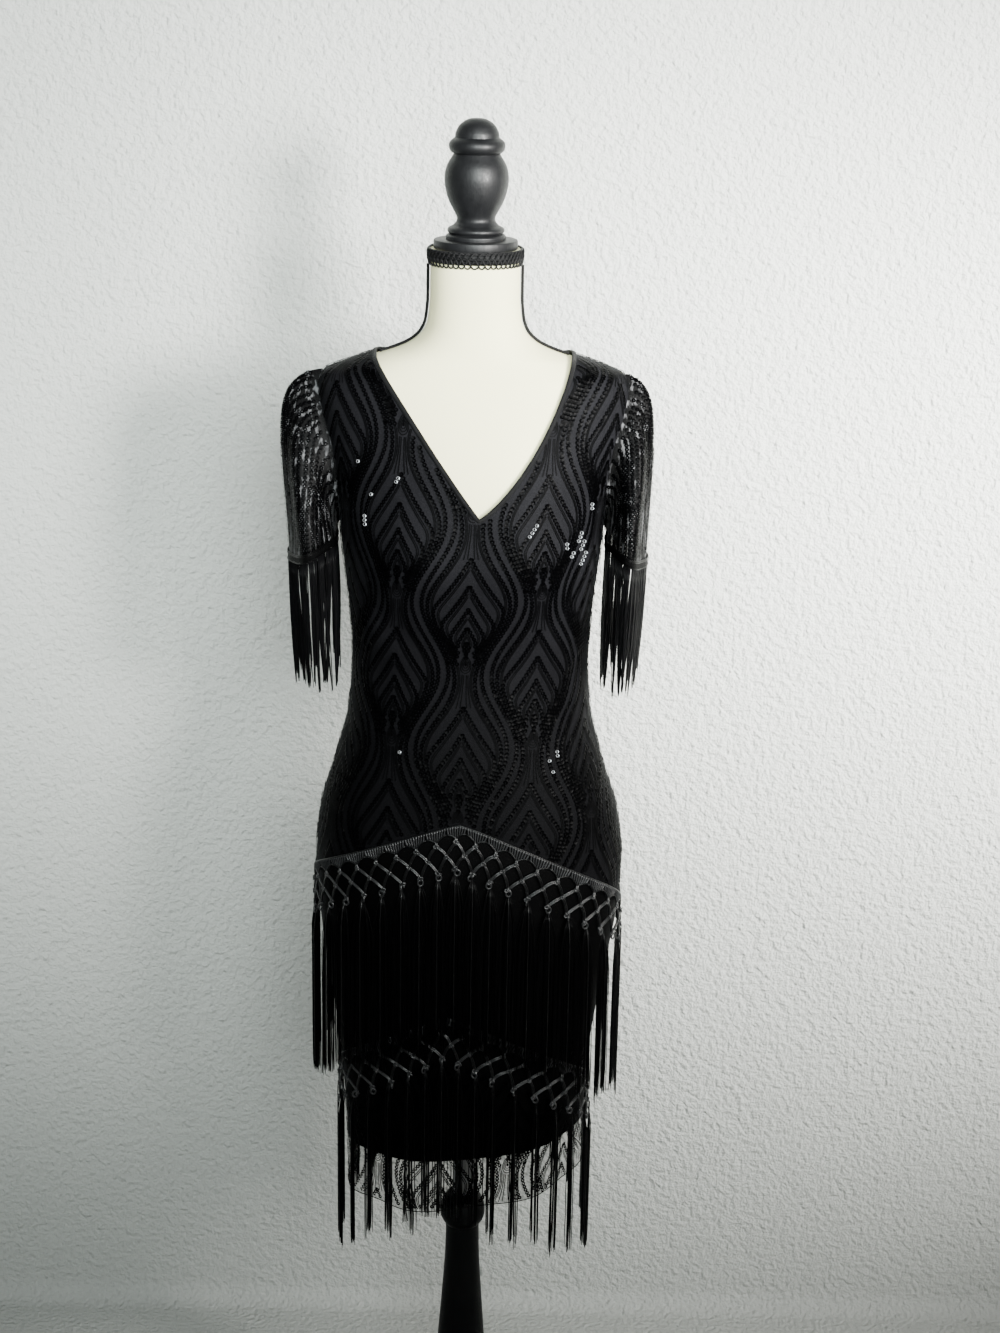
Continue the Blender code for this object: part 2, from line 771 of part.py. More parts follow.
def header_height(tier, side, share):
    """Height of the header's top edge: an upturned V with a soft bend."""
    row = dict(zip(TIER_COLUMNS, TIERS[tier]))
    peak_level = level_at(row["peak_z"])
    peak_share = share_at_x(side, row["peak_x"], peak_level)
    if share < peak_share:
        way, low = (peak_share - share) / peak_share, row["right_z"]
    else:
        way, low = (share - peak_share) / (1.0 - peak_share), row["left_z"]
    return row["peak_z"] - (row["peak_z"] - low) * way ** row["bend"]


def hung_point(side, share, z, top_z, out):
    """A strand's point: it hangs from top_z and never swings in under what it fell past."""
    widest = cloth_point(side, share, level_at(top_z), out)
    steps = 4
    for index in range(1, steps + 1):
        here = top_z + (z - top_z) * index / steps
        point = cloth_point(side, share, level_at(max(here, HEM_Z)), out)
        if math.hypot(point.x, point.y) > math.hypot(widest.x, widest.y):
            widest = point
    return Vector((widest.x, widest.y, z))


def knotted_fringe(tier):
    """Header strip with fans, three rows of knots joined by cords, and a strand from each last knot."""
    side = tier.rsplit("_", 1)[1]
    sizes = dict(zip(TIER_COLUMNS, TIERS[tier]))
    length = arcs(side, level_at(sizes["right_z"]))[1]
    count = round(length / FRINGE_PITCH)
    out = HEADER_STAND_OFF + HEADER_WALL
    points, faces = [], []

    def face(*corners):
        faces.append(corners if side == "front" else tuple(reversed(corners)))

    def slope_at(share, reach):
        """The header's slope, read between places a reach to each side."""
        ahead, behind = min(share + reach, 1.0), max(share - reach, 0.0)
        rise = header_height(tier, side, ahead) - header_height(tier, side, behind)
        return math.atan2(rise, length * (ahead - behind))

    def place(share, down, along=0.0):
        """A point below the header. down is nearly square to it, along runs with it, towards -X."""
        slope = slope_at(share, HEADER_NEAR)
        lean = slope_at(share, LEAN_REACH) * LATTICE_LEAN
        z = header_height(tier, side, share) + along * math.sin(slope) - down * math.cos(lean)
        moved = share + (along * math.cos(slope) + down * math.sin(lean)) / length
        moved = min(max(moved, 0.0), 1.0)
        points.append(hung_point(side, moved, z, header_height(tier, side, moved), out))
        return len(points) - 1

    def knot(share, down):
        return {
            "top": place(share, down - KNOT_HALF),
            "right": place(share, down, -KNOT_HALF),
            "low": place(share, down + KNOT_HALF),
            "left": place(share, down, KNOT_HALF),
        }

    fans = []
    fan_low = HEADER_HEIGHT + FAN_DROP
    top, low = [], []
    for index in range(count):
        centre = (index + 0.5) / count
        for along, down in ((-length / count / 2, HEADER_HEIGHT), (-FAN_HALF, fan_low), (FAN_HALF, fan_low)):
            top.append(place(centre + along / length, 0.0))
            low.append(place(centre + along / length, down))
        fans.append((low[-2], low[-1]))
    top.append(place(1.0, 0.0))
    low.append(place(1.0, HEADER_HEIGHT))
    for index in range(len(top) - 1):
        face(top[index], top[index + 1], low[index + 1], low[index])

    end_share = KNOT_HALF * 1.5 / length
    first, second, third = [], [], []
    for index in range(count):
        first.append(knot((index + 0.5) / count, KNOT_ROW_DROPS[0]))
        third.append(knot((index + 0.5) / count, KNOT_ROW_DROPS[2]))
    for index in range(count + 1):
        second.append(knot(min(max(index / count, end_share), 1.0 - end_share), KNOT_ROW_DROPS[1]))
    for index, item in enumerate(first):
        fan_right, fan_left = fans[index]
        face(fan_right, fan_left, item["left"], item["right"])
        face(item["left"], item["low"], item["right"])
        right, left = second[index], second[index + 1]
        face(item["right"], item["low"], right["left"], right["top"])
        face(item["low"], item["left"], left["top"], left["right"])
    for item in second:
        face(item["top"], item["left"], item["low"], item["right"])
    for index, item in enumerate(third):
        right, left = second[index], second[index + 1]
        face(right["low"], right["left"], item["top"], item["right"])
        face(left["right"], left["low"], item["left"], item["top"])
        face(item["top"], item["left"], item["right"])
        way = (index + 0.5) / count
        reach = sizes["right_reach"] * (1 - way) + sizes["left_reach"] * way - KNOT_ROW_DROPS[2]
        reach -= TIP_SPREAD * 0.5 * (1 + math.sin(2.1 * index + len(tier)))
        pairs = strand_pairs(side, points[item["low"]], reach, out + STRAND_STAND_OFF)
        previous = (item["right"], item["left"])
        for pair in pairs:
            corners = (len(points), len(points) + 1)
            points.extend(pair)
            face(previous[0], previous[1], corners[1], corners[0])
            previous = corners
    used = sorted({index for corners in faces for index in corners})
    renumbered = {old: new for new, old in enumerate(used)}
    kept_points = [points[index] for index in used]
    kept_faces = [tuple(renumbered[index] for index in corners) for corners in faces]
    item = add_mesh(tier, kept_points, kept_faces, "fringe")
    clear_seams(item, HEADER_WALL)
    return thicken(item, HEADER_WALL)


def strand_pairs(side, start, reach, out):
    """The two edges of a straight strand at a few heights, from its knot to its tip."""
    level = level_at(max(start.z, HEM_Z))
    share = share_at_x(side, start.x, level)
    normal = normal_at(angle_at(side, share, level), level)
    around = Vector((normal.y, -normal.x, 0.0)).normalized()
    if side == "back":
        around = -around
    pairs = []
    for step in range(1, STRAND_STEPS + 1):
        z = start.z - (reach - KNOT_HALF) * step / STRAND_STEPS
        centre = hung_point(side, share, z, start.z, out)
        if math.hypot(centre.x, centre.y) < math.hypot(start.x, start.y) + STRAND_STAND_OFF:
            stand = Vector((start.x, start.y, 0.0)).normalized() * STRAND_STAND_OFF
            centre = Vector((start.x + stand.x, start.y + stand.y, z))
        pairs.append((centre - around * STRAND_WIDTH / 2, centre + around * STRAND_WIDTH / 2))
    return pairs


# Dress form

def form_levels():
    """Heights of the form's rings: even below the chest, then two for each section."""
    low, chest = level_at(FORM_BOTTOM_Z), level_at(FORM_CHEST_Z)
    levels = [low + (chest - low) * index / FORM_LOWER_ROWS for index in range(FORM_LOWER_ROWS)]
    upper = [level for level in LEVELS if level > chest]
    for index, level in enumerate(upper):
        z = section_value("z", level)
        if index and NECK_CORNER_Z < z < NECK_STRAIGHT_Z:
            levels.append((upper[index - 1] + level) / 2)
        levels.append(level)
    return levels


def form_ring(level, out):
    """One ring of the form, with the same number of points at every height."""
    points = []
    half = FORM_COLUMNS // 2
    for index in range(FORM_COLUMNS):
        side = "front" if index < half else "back"
        share = index / half if side == "front" else 2 - index / half
        angle = angle_at(side, share, level)
        points.append(body_point(angle, level, out - section_value("ease", level), folds=False))
    return points


def ring_faces(rows, columns):
    faces = []
    for row in range(rows - 1):
        for index in range(columns):
            after = (index + 1) % columns
            a = row * columns + index
            b = row * columns + after
            faces.append((a, a + columns, b + columns, b))
    return faces


def form_torso():
    points = []
    levels = form_levels()
    for level in levels:
        points.extend(form_ring(level, 0.0))
    last = (len(levels) - 1) * FORM_COLUMNS
    for index in range(FORM_COLUMNS):
        points[index].z = FORM_BOTTOM_Z
        points[last + index].z = FORM_TOP_Z
    faces = ring_faces(len(levels), FORM_COLUMNS)
    faces.append(tuple(range(FORM_COLUMNS)))
    faces.append(tuple(reversed(range(last, last + FORM_COLUMNS))))
    item = add_mesh("form_torso", points, faces, "jersey")
    item.data.shade_smooth()
    item.data.set_sharp_from_angle(angle=math.radians(50))
    return item


def neck_band():
    """Braid round the top of the form's neck."""
    points = []
    for down, swell in NECK_BAND_ROWS:
        level = level_at(FORM_TOP_Z - NECK_BAND_HEIGHT * down - GAP)
        points.extend(form_ring(level, GAP + NECK_BAND_WALL * swell))
    faces = ring_faces(len(NECK_BAND_ROWS), FORM_COLUMNS)
    return thicken(add_mesh("neck_band", points, faces, "gimp"), NECK_BAND_WALL * NECK_BAND_ROWS[0][1])


def piping(hand):
    """Covered cord down the side of the neck and out along the shoulder to the dress's edge."""
    angle = 0.0 if hand == "right" else math.pi
    top = level_at(FORM_TOP_Z - NECK_BAND_HEIGHT - PIPING_RADIUS)
    end = level_at(PIPING_END_Z)
    levels = [end] + [level for level in form_levels() if end < level < top] + [top]
    curve = bpy.data.curves.new("piping_" + hand, "CURVE")
    curve.dimensions = "3D"
    spline = curve.splines.new("POLY")
    spline.points.add(len(levels) - 1)
    for place, level in zip(spline.points, levels):
        out = PIPING_RADIUS + 2 * GAP - section_value("ease", level)
        place.co = (*body_point(angle, level, out, folds=False), 1.0)
    curve.bevel_depth = PIPING_RADIUS
    curve.bevel_resolution = 2
    curve.use_fill_caps = True
    curve.materials.append(SLOTS["gimp"])
    item = bpy.data.objects.new("piping_" + hand, curve)
    COLLECTION.objects.link(item)
    return item


# Turned pieces

def profile(table, top_z, low_z):
    """An outline from a table, closed by a flat underside."""
    outline = []
    for row in table:
        size = dict(zip(PROFILE_COLUMNS, row))
        outline.append((size["radius"], top_z - size["below_top"]))
    outline.append((outline[-1][0], low_z))
    outline.append((0.0, low_z))
    return outline


def turned(name, outline, slot):
    """A solid of revolution from an outline that runs down its outer side, top to bottom."""
    mesh = bpy.data.meshes.new(name)
    points = [(max(radius, 0.0), 0.0, z) for radius, z in outline]
    edges = [(index, index + 1) for index in range(len(points) - 1)]
    mesh.from_pydata(points, edges, [])
    mesh.materials.append(SLOTS[slot])
    item = bpy.data.objects.new(name, mesh)
    COLLECTION.objects.link(item)
    screw = item.modifiers.new("turn", "SCREW")
    screw.steps = TURN_STEPS
    screw.render_steps = TURN_STEPS
    screw.use_merge_vertices = True
    screw.merge_threshold = 0.00005
    screw.use_smooth_shade = True
    return item


def finial():
    low = FORM_TOP_Z + GAP + DISC_THICKNESS + GAP
    return turned("finial", profile(FINIAL_PROFILE, FINIAL_TOP_Z, low), "black_wood")


def neck_disc():
    low = FORM_TOP_Z + GAP
    high = low + DISC_THICKNESS
    outline = [(0.0, high), (DISC_RADIUS - DISC_EDGE, high), (DISC_RADIUS, high - DISC_EDGE)]
    outline += [(DISC_RADIUS, low + DISC_EDGE), (DISC_RADIUS - DISC_EDGE, low), (0.0, low)]
    return turned("neck_disc", outline, "black_wood")


def pole():
    bpy.ops.mesh.primitive_cylinder_add(
        vertices=20,
        radius=POLE_RADIUS,
        depth=FORM_BOTTOM_Z - POST_TOP_Z - 2 * GAP,
        location=(0.0, 0.0, (FORM_BOTTOM_Z + POST_TOP_Z) / 2),
    )
    item = bpy.context.active_object
    item.name = "pole"
    item.data.name = "pole"
    item.data.materials.append(SLOTS["steel"])
    item.data.shade_smooth()
    item.data.set_sharp_from_angle(angle=math.radians(50))
    for collection in list(item.users_collection):
        collection.objects.unlink(item)
    COLLECTION.objects.link(item)
    return item


def post():
    return turned("post", profile(POST_PROFILE, POST_TOP_Z, BASE_TOP_Z + GAP), "black_wood")


def stand_base():
    return turned("stand_base", profile(BASE_PROFILE, BASE_TOP_Z, 0.0), "black_wood")


# The whole part

for panel_side in ("front", "back"):
    dress_panel(panel_side)
    lining_panel(panel_side)
neck_binding()
for sleeve_hand in ("left", "right"):
    sleeve(sleeve_hand)
    sleeve_fringe(sleeve_hand)
    piping(sleeve_hand)
for tier_name in TIERS:
    knotted_fringe(tier_name)
form_torso()
neck_band()
neck_disc()
finial()
pole()
post()
stand_base()
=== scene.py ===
# Sequin fringe dress on its limbless dress form: the looks of every surface.
# Metres, +Z up, front towards -Y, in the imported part's own frame.
import math

import bpy
import numpy as np
from mathutils import Matrix


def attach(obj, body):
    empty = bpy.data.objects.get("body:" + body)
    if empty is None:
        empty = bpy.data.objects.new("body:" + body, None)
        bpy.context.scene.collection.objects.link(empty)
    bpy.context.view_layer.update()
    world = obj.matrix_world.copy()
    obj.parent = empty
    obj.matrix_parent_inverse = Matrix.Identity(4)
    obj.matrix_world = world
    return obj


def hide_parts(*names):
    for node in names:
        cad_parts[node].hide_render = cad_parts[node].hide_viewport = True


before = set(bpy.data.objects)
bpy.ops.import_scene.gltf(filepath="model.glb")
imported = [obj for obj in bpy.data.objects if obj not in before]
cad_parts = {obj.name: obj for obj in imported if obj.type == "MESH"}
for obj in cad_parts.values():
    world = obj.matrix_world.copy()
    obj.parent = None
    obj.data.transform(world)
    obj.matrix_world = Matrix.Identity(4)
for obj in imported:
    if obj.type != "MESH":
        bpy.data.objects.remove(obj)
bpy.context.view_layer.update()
RANDOM = np.random.default_rng(11)

# The dress's outer face, from hem to neck, as rings round the pole, as in the solids.
# half: half width in X. front, back: depth towards -Y and +Y. ease: from here in to the form.
SECTION_COLUMNS = ("z", "half", "front", "back", "ease")
SECTIONS = (
    (0.400, 0.1400, 0.1120, 0.1180, 0.0100),
    (0.480, 0.1430, 0.1130, 0.1190, 0.0100),
    (0.580, 0.1500, 0.1160, 0.1250, 0.0100),
    (0.680, 0.1630, 0.1210, 0.1340, 0.0080),
    (0.760, 0.1735, 0.1235, 0.1405, 0.0060),
    (0.830, 0.1770, 0.1225, 0.1420, 0.0050),
    (0.885, 0.1725, 0.1180, 0.1340, 0.0055),
    (0.942, 0.1560, 0.1110, 0.1180, 0.0065),
    (1.010, 0.1400, 0.1010, 0.1010, 0.0070),
    (1.070, 0.1350, 0.0980, 0.0950, 0.0070),
    (1.130, 0.1385, 0.1060, 0.0990, 0.0070),
    (1.205, 0.1465, 0.1180, 0.1070, 0.0070),
    (1.270, 0.1530, 0.1140, 0.1110, 0.0060),
    (1.320, 0.1620, 0.1010, 0.1080, 0.0050),
    (1.355, 0.1700, 0.0860, 0.0970, 0.0045),
    (1.380, 0.1720, 0.0750, 0.0840, 0.0045),
    (1.396, 0.1670, 0.0680, 0.0750, 0.0044),
    (1.403, 0.1520, 0.0645, 0.0710, 0.0044),
    (1.412, 0.1270, 0.0610, 0.0660, 0.0044),
    (1.418, 0.1080, 0.0590, 0.0620, 0.0036),
    (1.4235, 0.0870, 0.0570, 0.0590, 0.0022),
    (1.430, 0.0700, 0.0550, 0.0565, 0.0008),
    (1.441, 0.0570, 0.0520, 0.0545, 0.0),
    (1.455, 0.0515, 0.0500, 0.0525, 0.0),
    (1.480, 0.0492, 0.0480, 0.0505, 0.0),
    (1.531, 0.0490, 0.0475, 0.0500, 0.0),
)
SECTION_POWER = 2.25
NET_WALL = 0.0012

# Each hand's side of the middle, and its side seam's share of the way round
HAND_SIGN = {"right": 1.0, "left": -1.0}
HAND_SHARE = {"right": 0.0, "left": 1.0}

BUST_Z = 1.205
BUST_X = 0.070
BUST_RISE = 0.009
BUST_SPREAD_X = 0.046
BUST_SPREAD_Z = 0.055
RIGHT_HIP_Z = 0.800
RIGHT_HIP_RISE = 0.0045
RIGHT_HIP_SPREAD = 0.100

HEM_Z = 0.415
HEM_SIDE_RISE = {"right": 0.022, "left": -0.014}
HEM_WAVES = 7
HEM_WAVE_DEPTH = 0.0045
HEM_WAVE_REACH = 0.150

# Drag folds as soft troughs, the solids' own first. angle is from +X towards the front.
FOLD_COLUMNS = ("angle", "z", "tilt", "length", "width", "depth")
FOLDS = (
    (150.0, 1.085, 28.0, 0.055, 0.0150, 0.0030),
    (34.0, 1.060, -24.0, 0.050, 0.0150, 0.0028),
    (128.0, 1.130, 40.0, 0.050, 0.0140, 0.0024),
    (52.0, 1.135, -38.0, 0.045, 0.0130, 0.0022),
    (156.0, 0.985, 16.0, 0.050, 0.0150, 0.0026),
    (22.0, 0.990, -18.0, 0.045, 0.0140, 0.0026),
    (205.0, 1.075, -20.0, 0.050, 0.0150, 0.0028),
    (333.0, 1.085, 22.0, 0.055, 0.0150, 0.0028),
    (246.0, 1.040, -8.0, 0.060, 0.0140, 0.0024),
    (290.0, 1.030, 10.0, 0.055, 0.0140, 0.0024),
    (146.0, 1.018, 22.0, 0.034, 0.0075, 0.0016),
    (163.0, 1.120, 36.0, 0.036, 0.0080, 0.0018),
    (138.0, 1.185, 58.0, 0.040, 0.0090, 0.0014),
    (112.0, 1.062, 12.0, 0.040, 0.0085, 0.0012),
    (40.0, 1.020, -14.0, 0.034, 0.0080, 0.0016),
    (20.0, 1.118, -34.0, 0.036, 0.0085, 0.0018),
    (44.0, 1.190, -60.0, 0.040, 0.0090, 0.0014),
    (72.0, 1.075, -10.0, 0.038, 0.0085, 0.0011),
    (96.0, 0.965, 4.0, 0.046, 0.0090, 0.0011),
    (214.0, 1.012, -14.0, 0.038, 0.0080, 0.0016),
    (228.0, 1.150, -48.0, 0.040, 0.0090, 0.0014),
    (262.0, 1.100, 6.0, 0.044, 0.0085, 0.0013),
    (318.0, 1.020, 16.0, 0.036, 0.0080, 0.0016),
    (306.0, 1.155, 46.0, 0.040, 0.0090, 0.0014),
    (276.0, 0.985, -5.0, 0.046, 0.0090, 0.0012),
)

NECK_CORNER_X = 0.108
NECK_CORNER_Z = 1.418
V_BOTTOM_X = 0.0095
V_BOTTOM_Z = 1.2570
V_BOW = {"right": 0.0175, "left": 0.001}
V_BOW_SHIFT = 0.8
BACK_NECK_Z = 1.398
SHOULDER_TIP_Z = 1.396
UNDERARM_Z = 1.225
ARMHOLE_INSET = 0.085
UPPER_ROW_CROWDING = 1.4
BINDING_WIDTH = 0.0045
BINDING_RISE = 0.0014

LINING_HEM_T = 1.0 / 13.0
LINING_TOP_T = 5.0 / 13.0
LINING_IN = 0.0022

SLEEVE_HEM_X = 0.1795
SLEEVE_HEM_Z = 1.1960
SLEEVE_HEM_TILT = 0.0110
SLEEVE_HEM_HALF_WIDTH = 0.0275
SLEEVE_HEM_HALF_DEPTH = 0.0700
SLEEVE_CAP = {"left": 0.0640, "right": 0.0400}
SLEEVE_CAP_FALL = 0.0070
SLEEVE_SIDE_SWELL = 0.0100
SLEEVE_SIDE_SHARE = 0.45
SLEEVE_DROP_SIDE_SHARE = 0.35
SLEEVE_UNDERARM_SHARE = 0.12
SLEEVE_DROP = 0.1150
SLEEVE_WAVES = 5
SLEEVE_WAVE_DEPTH = 0.0022
SLEEVE_FLARE = {"left": -0.0040, "right": -0.0120}

# Knotted fringe: header, netted cords, strands
HEADER_HEIGHT = 0.0105
HEADER_OUT = 0.0012
FAN_DROP = 0.0040
FRINGE_PITCH = 0.0248
KNOT_ROW_DROPS = (0.0185, 0.0325, 0.0500)
LATTICE_LEAN = 0.75
LEAN_REACH = 0.16
TIP_SPREAD = 0.012
TIER_COLUMNS = ("peak_x", "peak_z", "right_z", "left_z", "bend", "right_reach", "left_reach")
TIERS = {
    "upper_fringe_front": (-0.008, 0.9050, 0.7720, 0.8080, 1.22, 0.265, 0.272),
    "upper_fringe_back": (0.006, 0.9000, 0.7720, 0.8080, 1.15, 0.265, 0.272),
    "lower_fringe_front": (-0.019, 0.6700, 0.5400, 0.5560, 1.12, 0.250, 0.262),
    "lower_fringe_back": (0.008, 0.6650, 0.5400, 0.5560, 1.12, 0.250, 0.262),
}
HEADER_HALF_LENGTH = 0.262
SLEEVE_FRINGE_REACH = 0.158
SLEEVE_HEADER_HEIGHT = 0.0085
SLEEVE_STRAND_LEAN = 0.0080

FORM_BOTTOM_Z = 0.745
FORM_TOP_Z = 1.531
NECK_BAND_HEIGHT = 0.0180
PIPING_RADIUS = 0.0019
PIPING_END_Z = 1.4190
FINIAL_TOP_Z = 1.6700
POST_TOP_Z = 0.3740
BASE_TOP_Z = 0.0360
DISC_RADIUS = 0.046
DISC_LOW_Z = 1.5313
DISC_HIGH_Z = 1.5413
GAP = 0.0003

# Turned outlines in smooth runs, down the outer side from the top. Runs meet in a crisp edge.
PROFILE_COLUMNS = ("radius", "below_top")
FINIAL_RUNS = (
    ((0.0000, 0.0000), (0.0100, 0.0015), (0.0185, 0.0070), (0.0230, 0.0145), (0.0240, 0.0205)),
    ((0.0240, 0.0205), (0.0291, 0.0247), (0.0305, 0.0295), (0.0291, 0.0343), (0.0253, 0.0377)),
    (
        (0.0253, 0.0377), (0.0275, 0.0415), (0.0325, 0.0505), (0.0348, 0.0625), (0.0338, 0.0740),
        (0.0305, 0.0860), (0.0250, 0.0970), (0.0213, 0.1040), (0.0213, 0.1090), (0.0250, 0.1135),
    ),
    ((0.0250, 0.1135), (0.0302, 0.1165), (0.0310, 0.1200), (0.0290, 0.1222)),
    ((0.0290, 0.1222), (0.0325, 0.1245), (0.0325, 0.1284)),
)
POST_RUNS = (
    ((0.0000, 0.0000), (0.0178, 0.0000)),
    (
        (0.0178, 0.0000), (0.0228, 0.0070), (0.0261, 0.0148), (0.0276, 0.0221), (0.0272, 0.0294),
        (0.0248, 0.0364), (0.0206, 0.0425),
    ),
    (
        (0.0206, 0.0425), (0.0205, 0.0570), (0.0222, 0.1040), (0.0290, 0.2020), (0.0335, 0.2640),
        (0.0350, 0.2890),
    ),
    ((0.0350, 0.2890), (0.0410, 0.3100), (0.0540, 0.3240), (0.0600, 0.3270)),
    ((0.0600, 0.3270), (0.0600, 0.3377)),
)
BASE_RUNS = (
    ((0.0000, 0.0000), (0.1450, 0.0000)),
    ((0.1450, 0.0000), (0.1640, 0.0025), (0.1710, 0.0075)),
    ((0.1710, 0.0075), (0.1768, 0.0112), (0.1809, 0.0138), (0.1838, 0.0177), (0.1850, 0.0225)),
    ((0.1850, 0.0225), (0.1843, 0.0273), (0.1843, 0.0360)),
)
TURN_COUNT = 72

# Sequin net: an ogee repeat with nested arches, columns side by side in half drop.
# Shares are of one repeat's height, down from the eye above.
REPEAT_WIDTH = 0.081
REPEAT_HEIGHT = 0.176
EYE_Z = 1.0895
EYE_X = -0.0033
PATTERN_LEAN = 0.038
OGEE_SWING = 0.0165
OGEE_WIDEST = 0.58
STRIPE_HALF = 0.0056
LANE_PITCH = 0.0049
LANE_PRESS = 0.0012
LANE_PRESS_AT = 0.87
LANE_PRESS_SPREAD = 0.13
LANE_OPEN = 0.0070
LANE_OPEN_AT = 0.32
LANE_OPEN_SPREAD = 0.21
THROUGH_LANES = (1, 2)
STITCHED_LANES = (2,)
ARCH_STARTS = {3: 0.290, 4: 0.468, 5: 0.628, 6: 0.752, 7: 0.852}
ARCH_SLOPE = 0.52
ARCH_OPENING = 2.6
ARCH_BEND = 0.0030
ARCH_INSET_DROP = 1.9
LANE_END = 0.0088
EYE_HALF_WIDTH = 0.0070
EYE_HEIGHT = 0.0220
EYE_RINGS = (1.0, 0.72, 0.44, 0.18)
EYE_TAILS = (0.0016, 0.0034)
EYE_TAIL_PARTING = 28.0
SEQUIN_RADIUS = 0.0026
SEQUIN_HOLE = 0.00080
FLASH_RADIUS = 0.0021
FLASH_HOLE = 0.00120
SEQUIN_CUP = 0.0003
SEQUIN_STEP = 0.0046
SEQUIN_OUT = 0.0008
SEQUIN_TILT = 0.075
FLASH_REACH = 0.006
FLASH_LIFT = 0.0012
STITCH_HALF = 0.00052
STITCH_OUT = 0.0005
STITCH_OFFSETS = (0.0040, 0.0057)
STITCH_STEP = 0.0045

# Sequins that catch the lamp: short runs scattered at random over the chest, a sleeve and the waist, with a
# painted highlight.
# Places are given.
FLASH_COLUMNS = ("x", "z", "half_width", "half_height", "runs", "longest")
FLASH_PLACES = (
    (-0.10, 1.28, 0.03, 0.03, 5, 4),
    (0.10, 1.24, 0.03, 0.03, 7, 4),
    (-0.17, 1.30, 0.03, 0.03, 5, 2),
    (-0.08, 0.98, 0.02, 0.02, 2, 1),
    (0.08, 0.98, 0.02, 0.02, 5, 1),
)
FLASH_RANDOM = np.random.default_rng(5)

# Net panels as sheets: rows below and above the underarm, and columns from the middle to a seam
PANEL_LOWER = 78
PANEL_UPPER = 44
HALF_COLUMNS = 34
NET_IN = 0.0003
HEM_THREAD = 0.0006
# Painted shade on the net: heights between which its tone rises from its low share to full, and its share on
# the skirt under the upper fringe
NET_PAINTED_SHADE_HEIGHTS = (0.95, 1.23)
NET_PAINTED_SHADE_LOW = 0.34
SKIRT_PAINTED_SHADE = 0.06
# Above this height the pattern runs on over the shoulder by length
SHOULDER_TURN_Z = 1.388
# How far below each header the cloth is hidden, and needs no sequins
COVERED_BELOW = {"upper": 0.200, "lower": 0.055}
COVER_MARGIN = 0.0015
SEQUIN_MARGIN = 0.0055
STITCH_MARGIN = 0.0030
EYE_STITCH_STEP = 0.0016
SEQUIN_SIDES = {"front": 8, "back": 6, "sleeve": 6}
SET_SPLIT_Z = 0.92

# Sleeves
SLEEVE_AROUND = 96
SLEEVE_DOWN = 40
SLEEVE_REPEATS = 4
SLEEVE_LENGTH = 0.205
SLEEVE_SHEAVES = 8
SLEEVE_LINES = 5
SLEEVE_PARTING = 0.34
SLEEVE_REPEAT = 1.2
SLEEVE_TUCK = 0.0009
SLEEVE_SEAM_STEP = 0.0012
SLEEVE_SEQUIN_ENDS = (0.035, 0.955)

# Neck binding's section: shares of its width in from the edge, and of its rise off the cloth
BINDING_COLUMNS = ("across", "rise")
BINDING_SECTION = (
    (-0.12, 0.35),
    (-0.02, 0.85),
    (0.2, 1.0),
    (0.5, 1.05),
    (0.8, 0.95),
    (1.0, 0.45),
    (1.0, -0.45),
    (0.5, -0.8),
    (-0.05, -0.5),
)
BINDING_FLOOR = 0.0004
BINDING_STEPS = 60

# Headers' fans of ribs
RIBS_IN_FAN = 8
RIB_SAMPLES = 4
RIB_RISE = 0.0019
RIB_VALLEY = 0.30
FAN_ROWS = 9
EDGE_CORD = 0.0009
FAN_EDGE_SHARE = 0.74
FAN_NARROWING = 0.30

# Netted cords and their knots
CORD_RADIUS = 0.00096
CORD_APART = 0.00082
CORD_STEPS = 8
KNOT_SCALE = 0.00108
KNOT_CORD = 0.00100
KNOT_STEPS = 26
LOOP_RADIUS = 0.0036
LOOP_CORD = 0.00100
LOOP_STEPS = 15
KNOT_OUT = 0.0024

# Hanging threads
THREADS_IN_CLUMP = {"upper": 40, "lower": 15}
CLUMP_HALF = {"upper": 0.0100, "lower": 0.0046}
THREAD_RADIUS = {"upper": 0.00052, "lower": 0.00068, "sleeve": 0.00062}
MAIN_CORD_RADIUS = 0.00055
MAIN_CORD_OUT = 0.0100
THREAD_STEPS = 10
THREAD_TAPER = np.array([1.0] * (THREAD_STEPS - 1) + [0.6])
SUB_CLUMPS = {"upper": 5, "lower": 4}
TIP_UNEVEN = {"upper": 0.0022, "lower": 0.0024}
STRAY_THREADS = 2
GROUP_TIP_UNEVEN = 0.0055
THREAD_ASIDE = 0.0011
THREAD_OUT = 0.0052
THREAD_OUT_UNEVEN = 0.0045
THREAD_ROOT_DROP = 0.0015
THREAD_ROOT_OUT = 0.0036

# Sleeve fringe
SLEEVE_FANS = 14
SLEEVE_THREADS = 300
SLEEVE_CLUMPS = 30
SLEEVE_GATHER = 0.36
SLEEVE_THREAD_SWAY = 0.0012
SLEEVE_RIB_ROWS = 6
SLEEVE_CORD = 0.0006
SLEEVE_CORD_OUT = 0.0022
SLEEVE_ROOT_OUT = 0.0012
SLEEVE_ROOT_DROP = 0.0008

# Form, braid and piping
FORM_AROUND = 96
FORM_UP = 120
BRAID_LOOPS = 26
BRAID_CORD = 0.00090
BRAID_STAND = 0.0022
BRAID_STEPS = 14
PIPING_STEPS = 90
PIPING_TWIST = 0.0085
DISC_HEIGHT = 0.010
DISC_EDGE = 0.0015

# Camera
CAMERA_PLACE = (0.0345, -2.52, 1.85)
CAMERA_DIP = 17.5
CAMERA_ROLL = 1.02
CAMERA_LENS = 62.1
SENSOR = 36.0

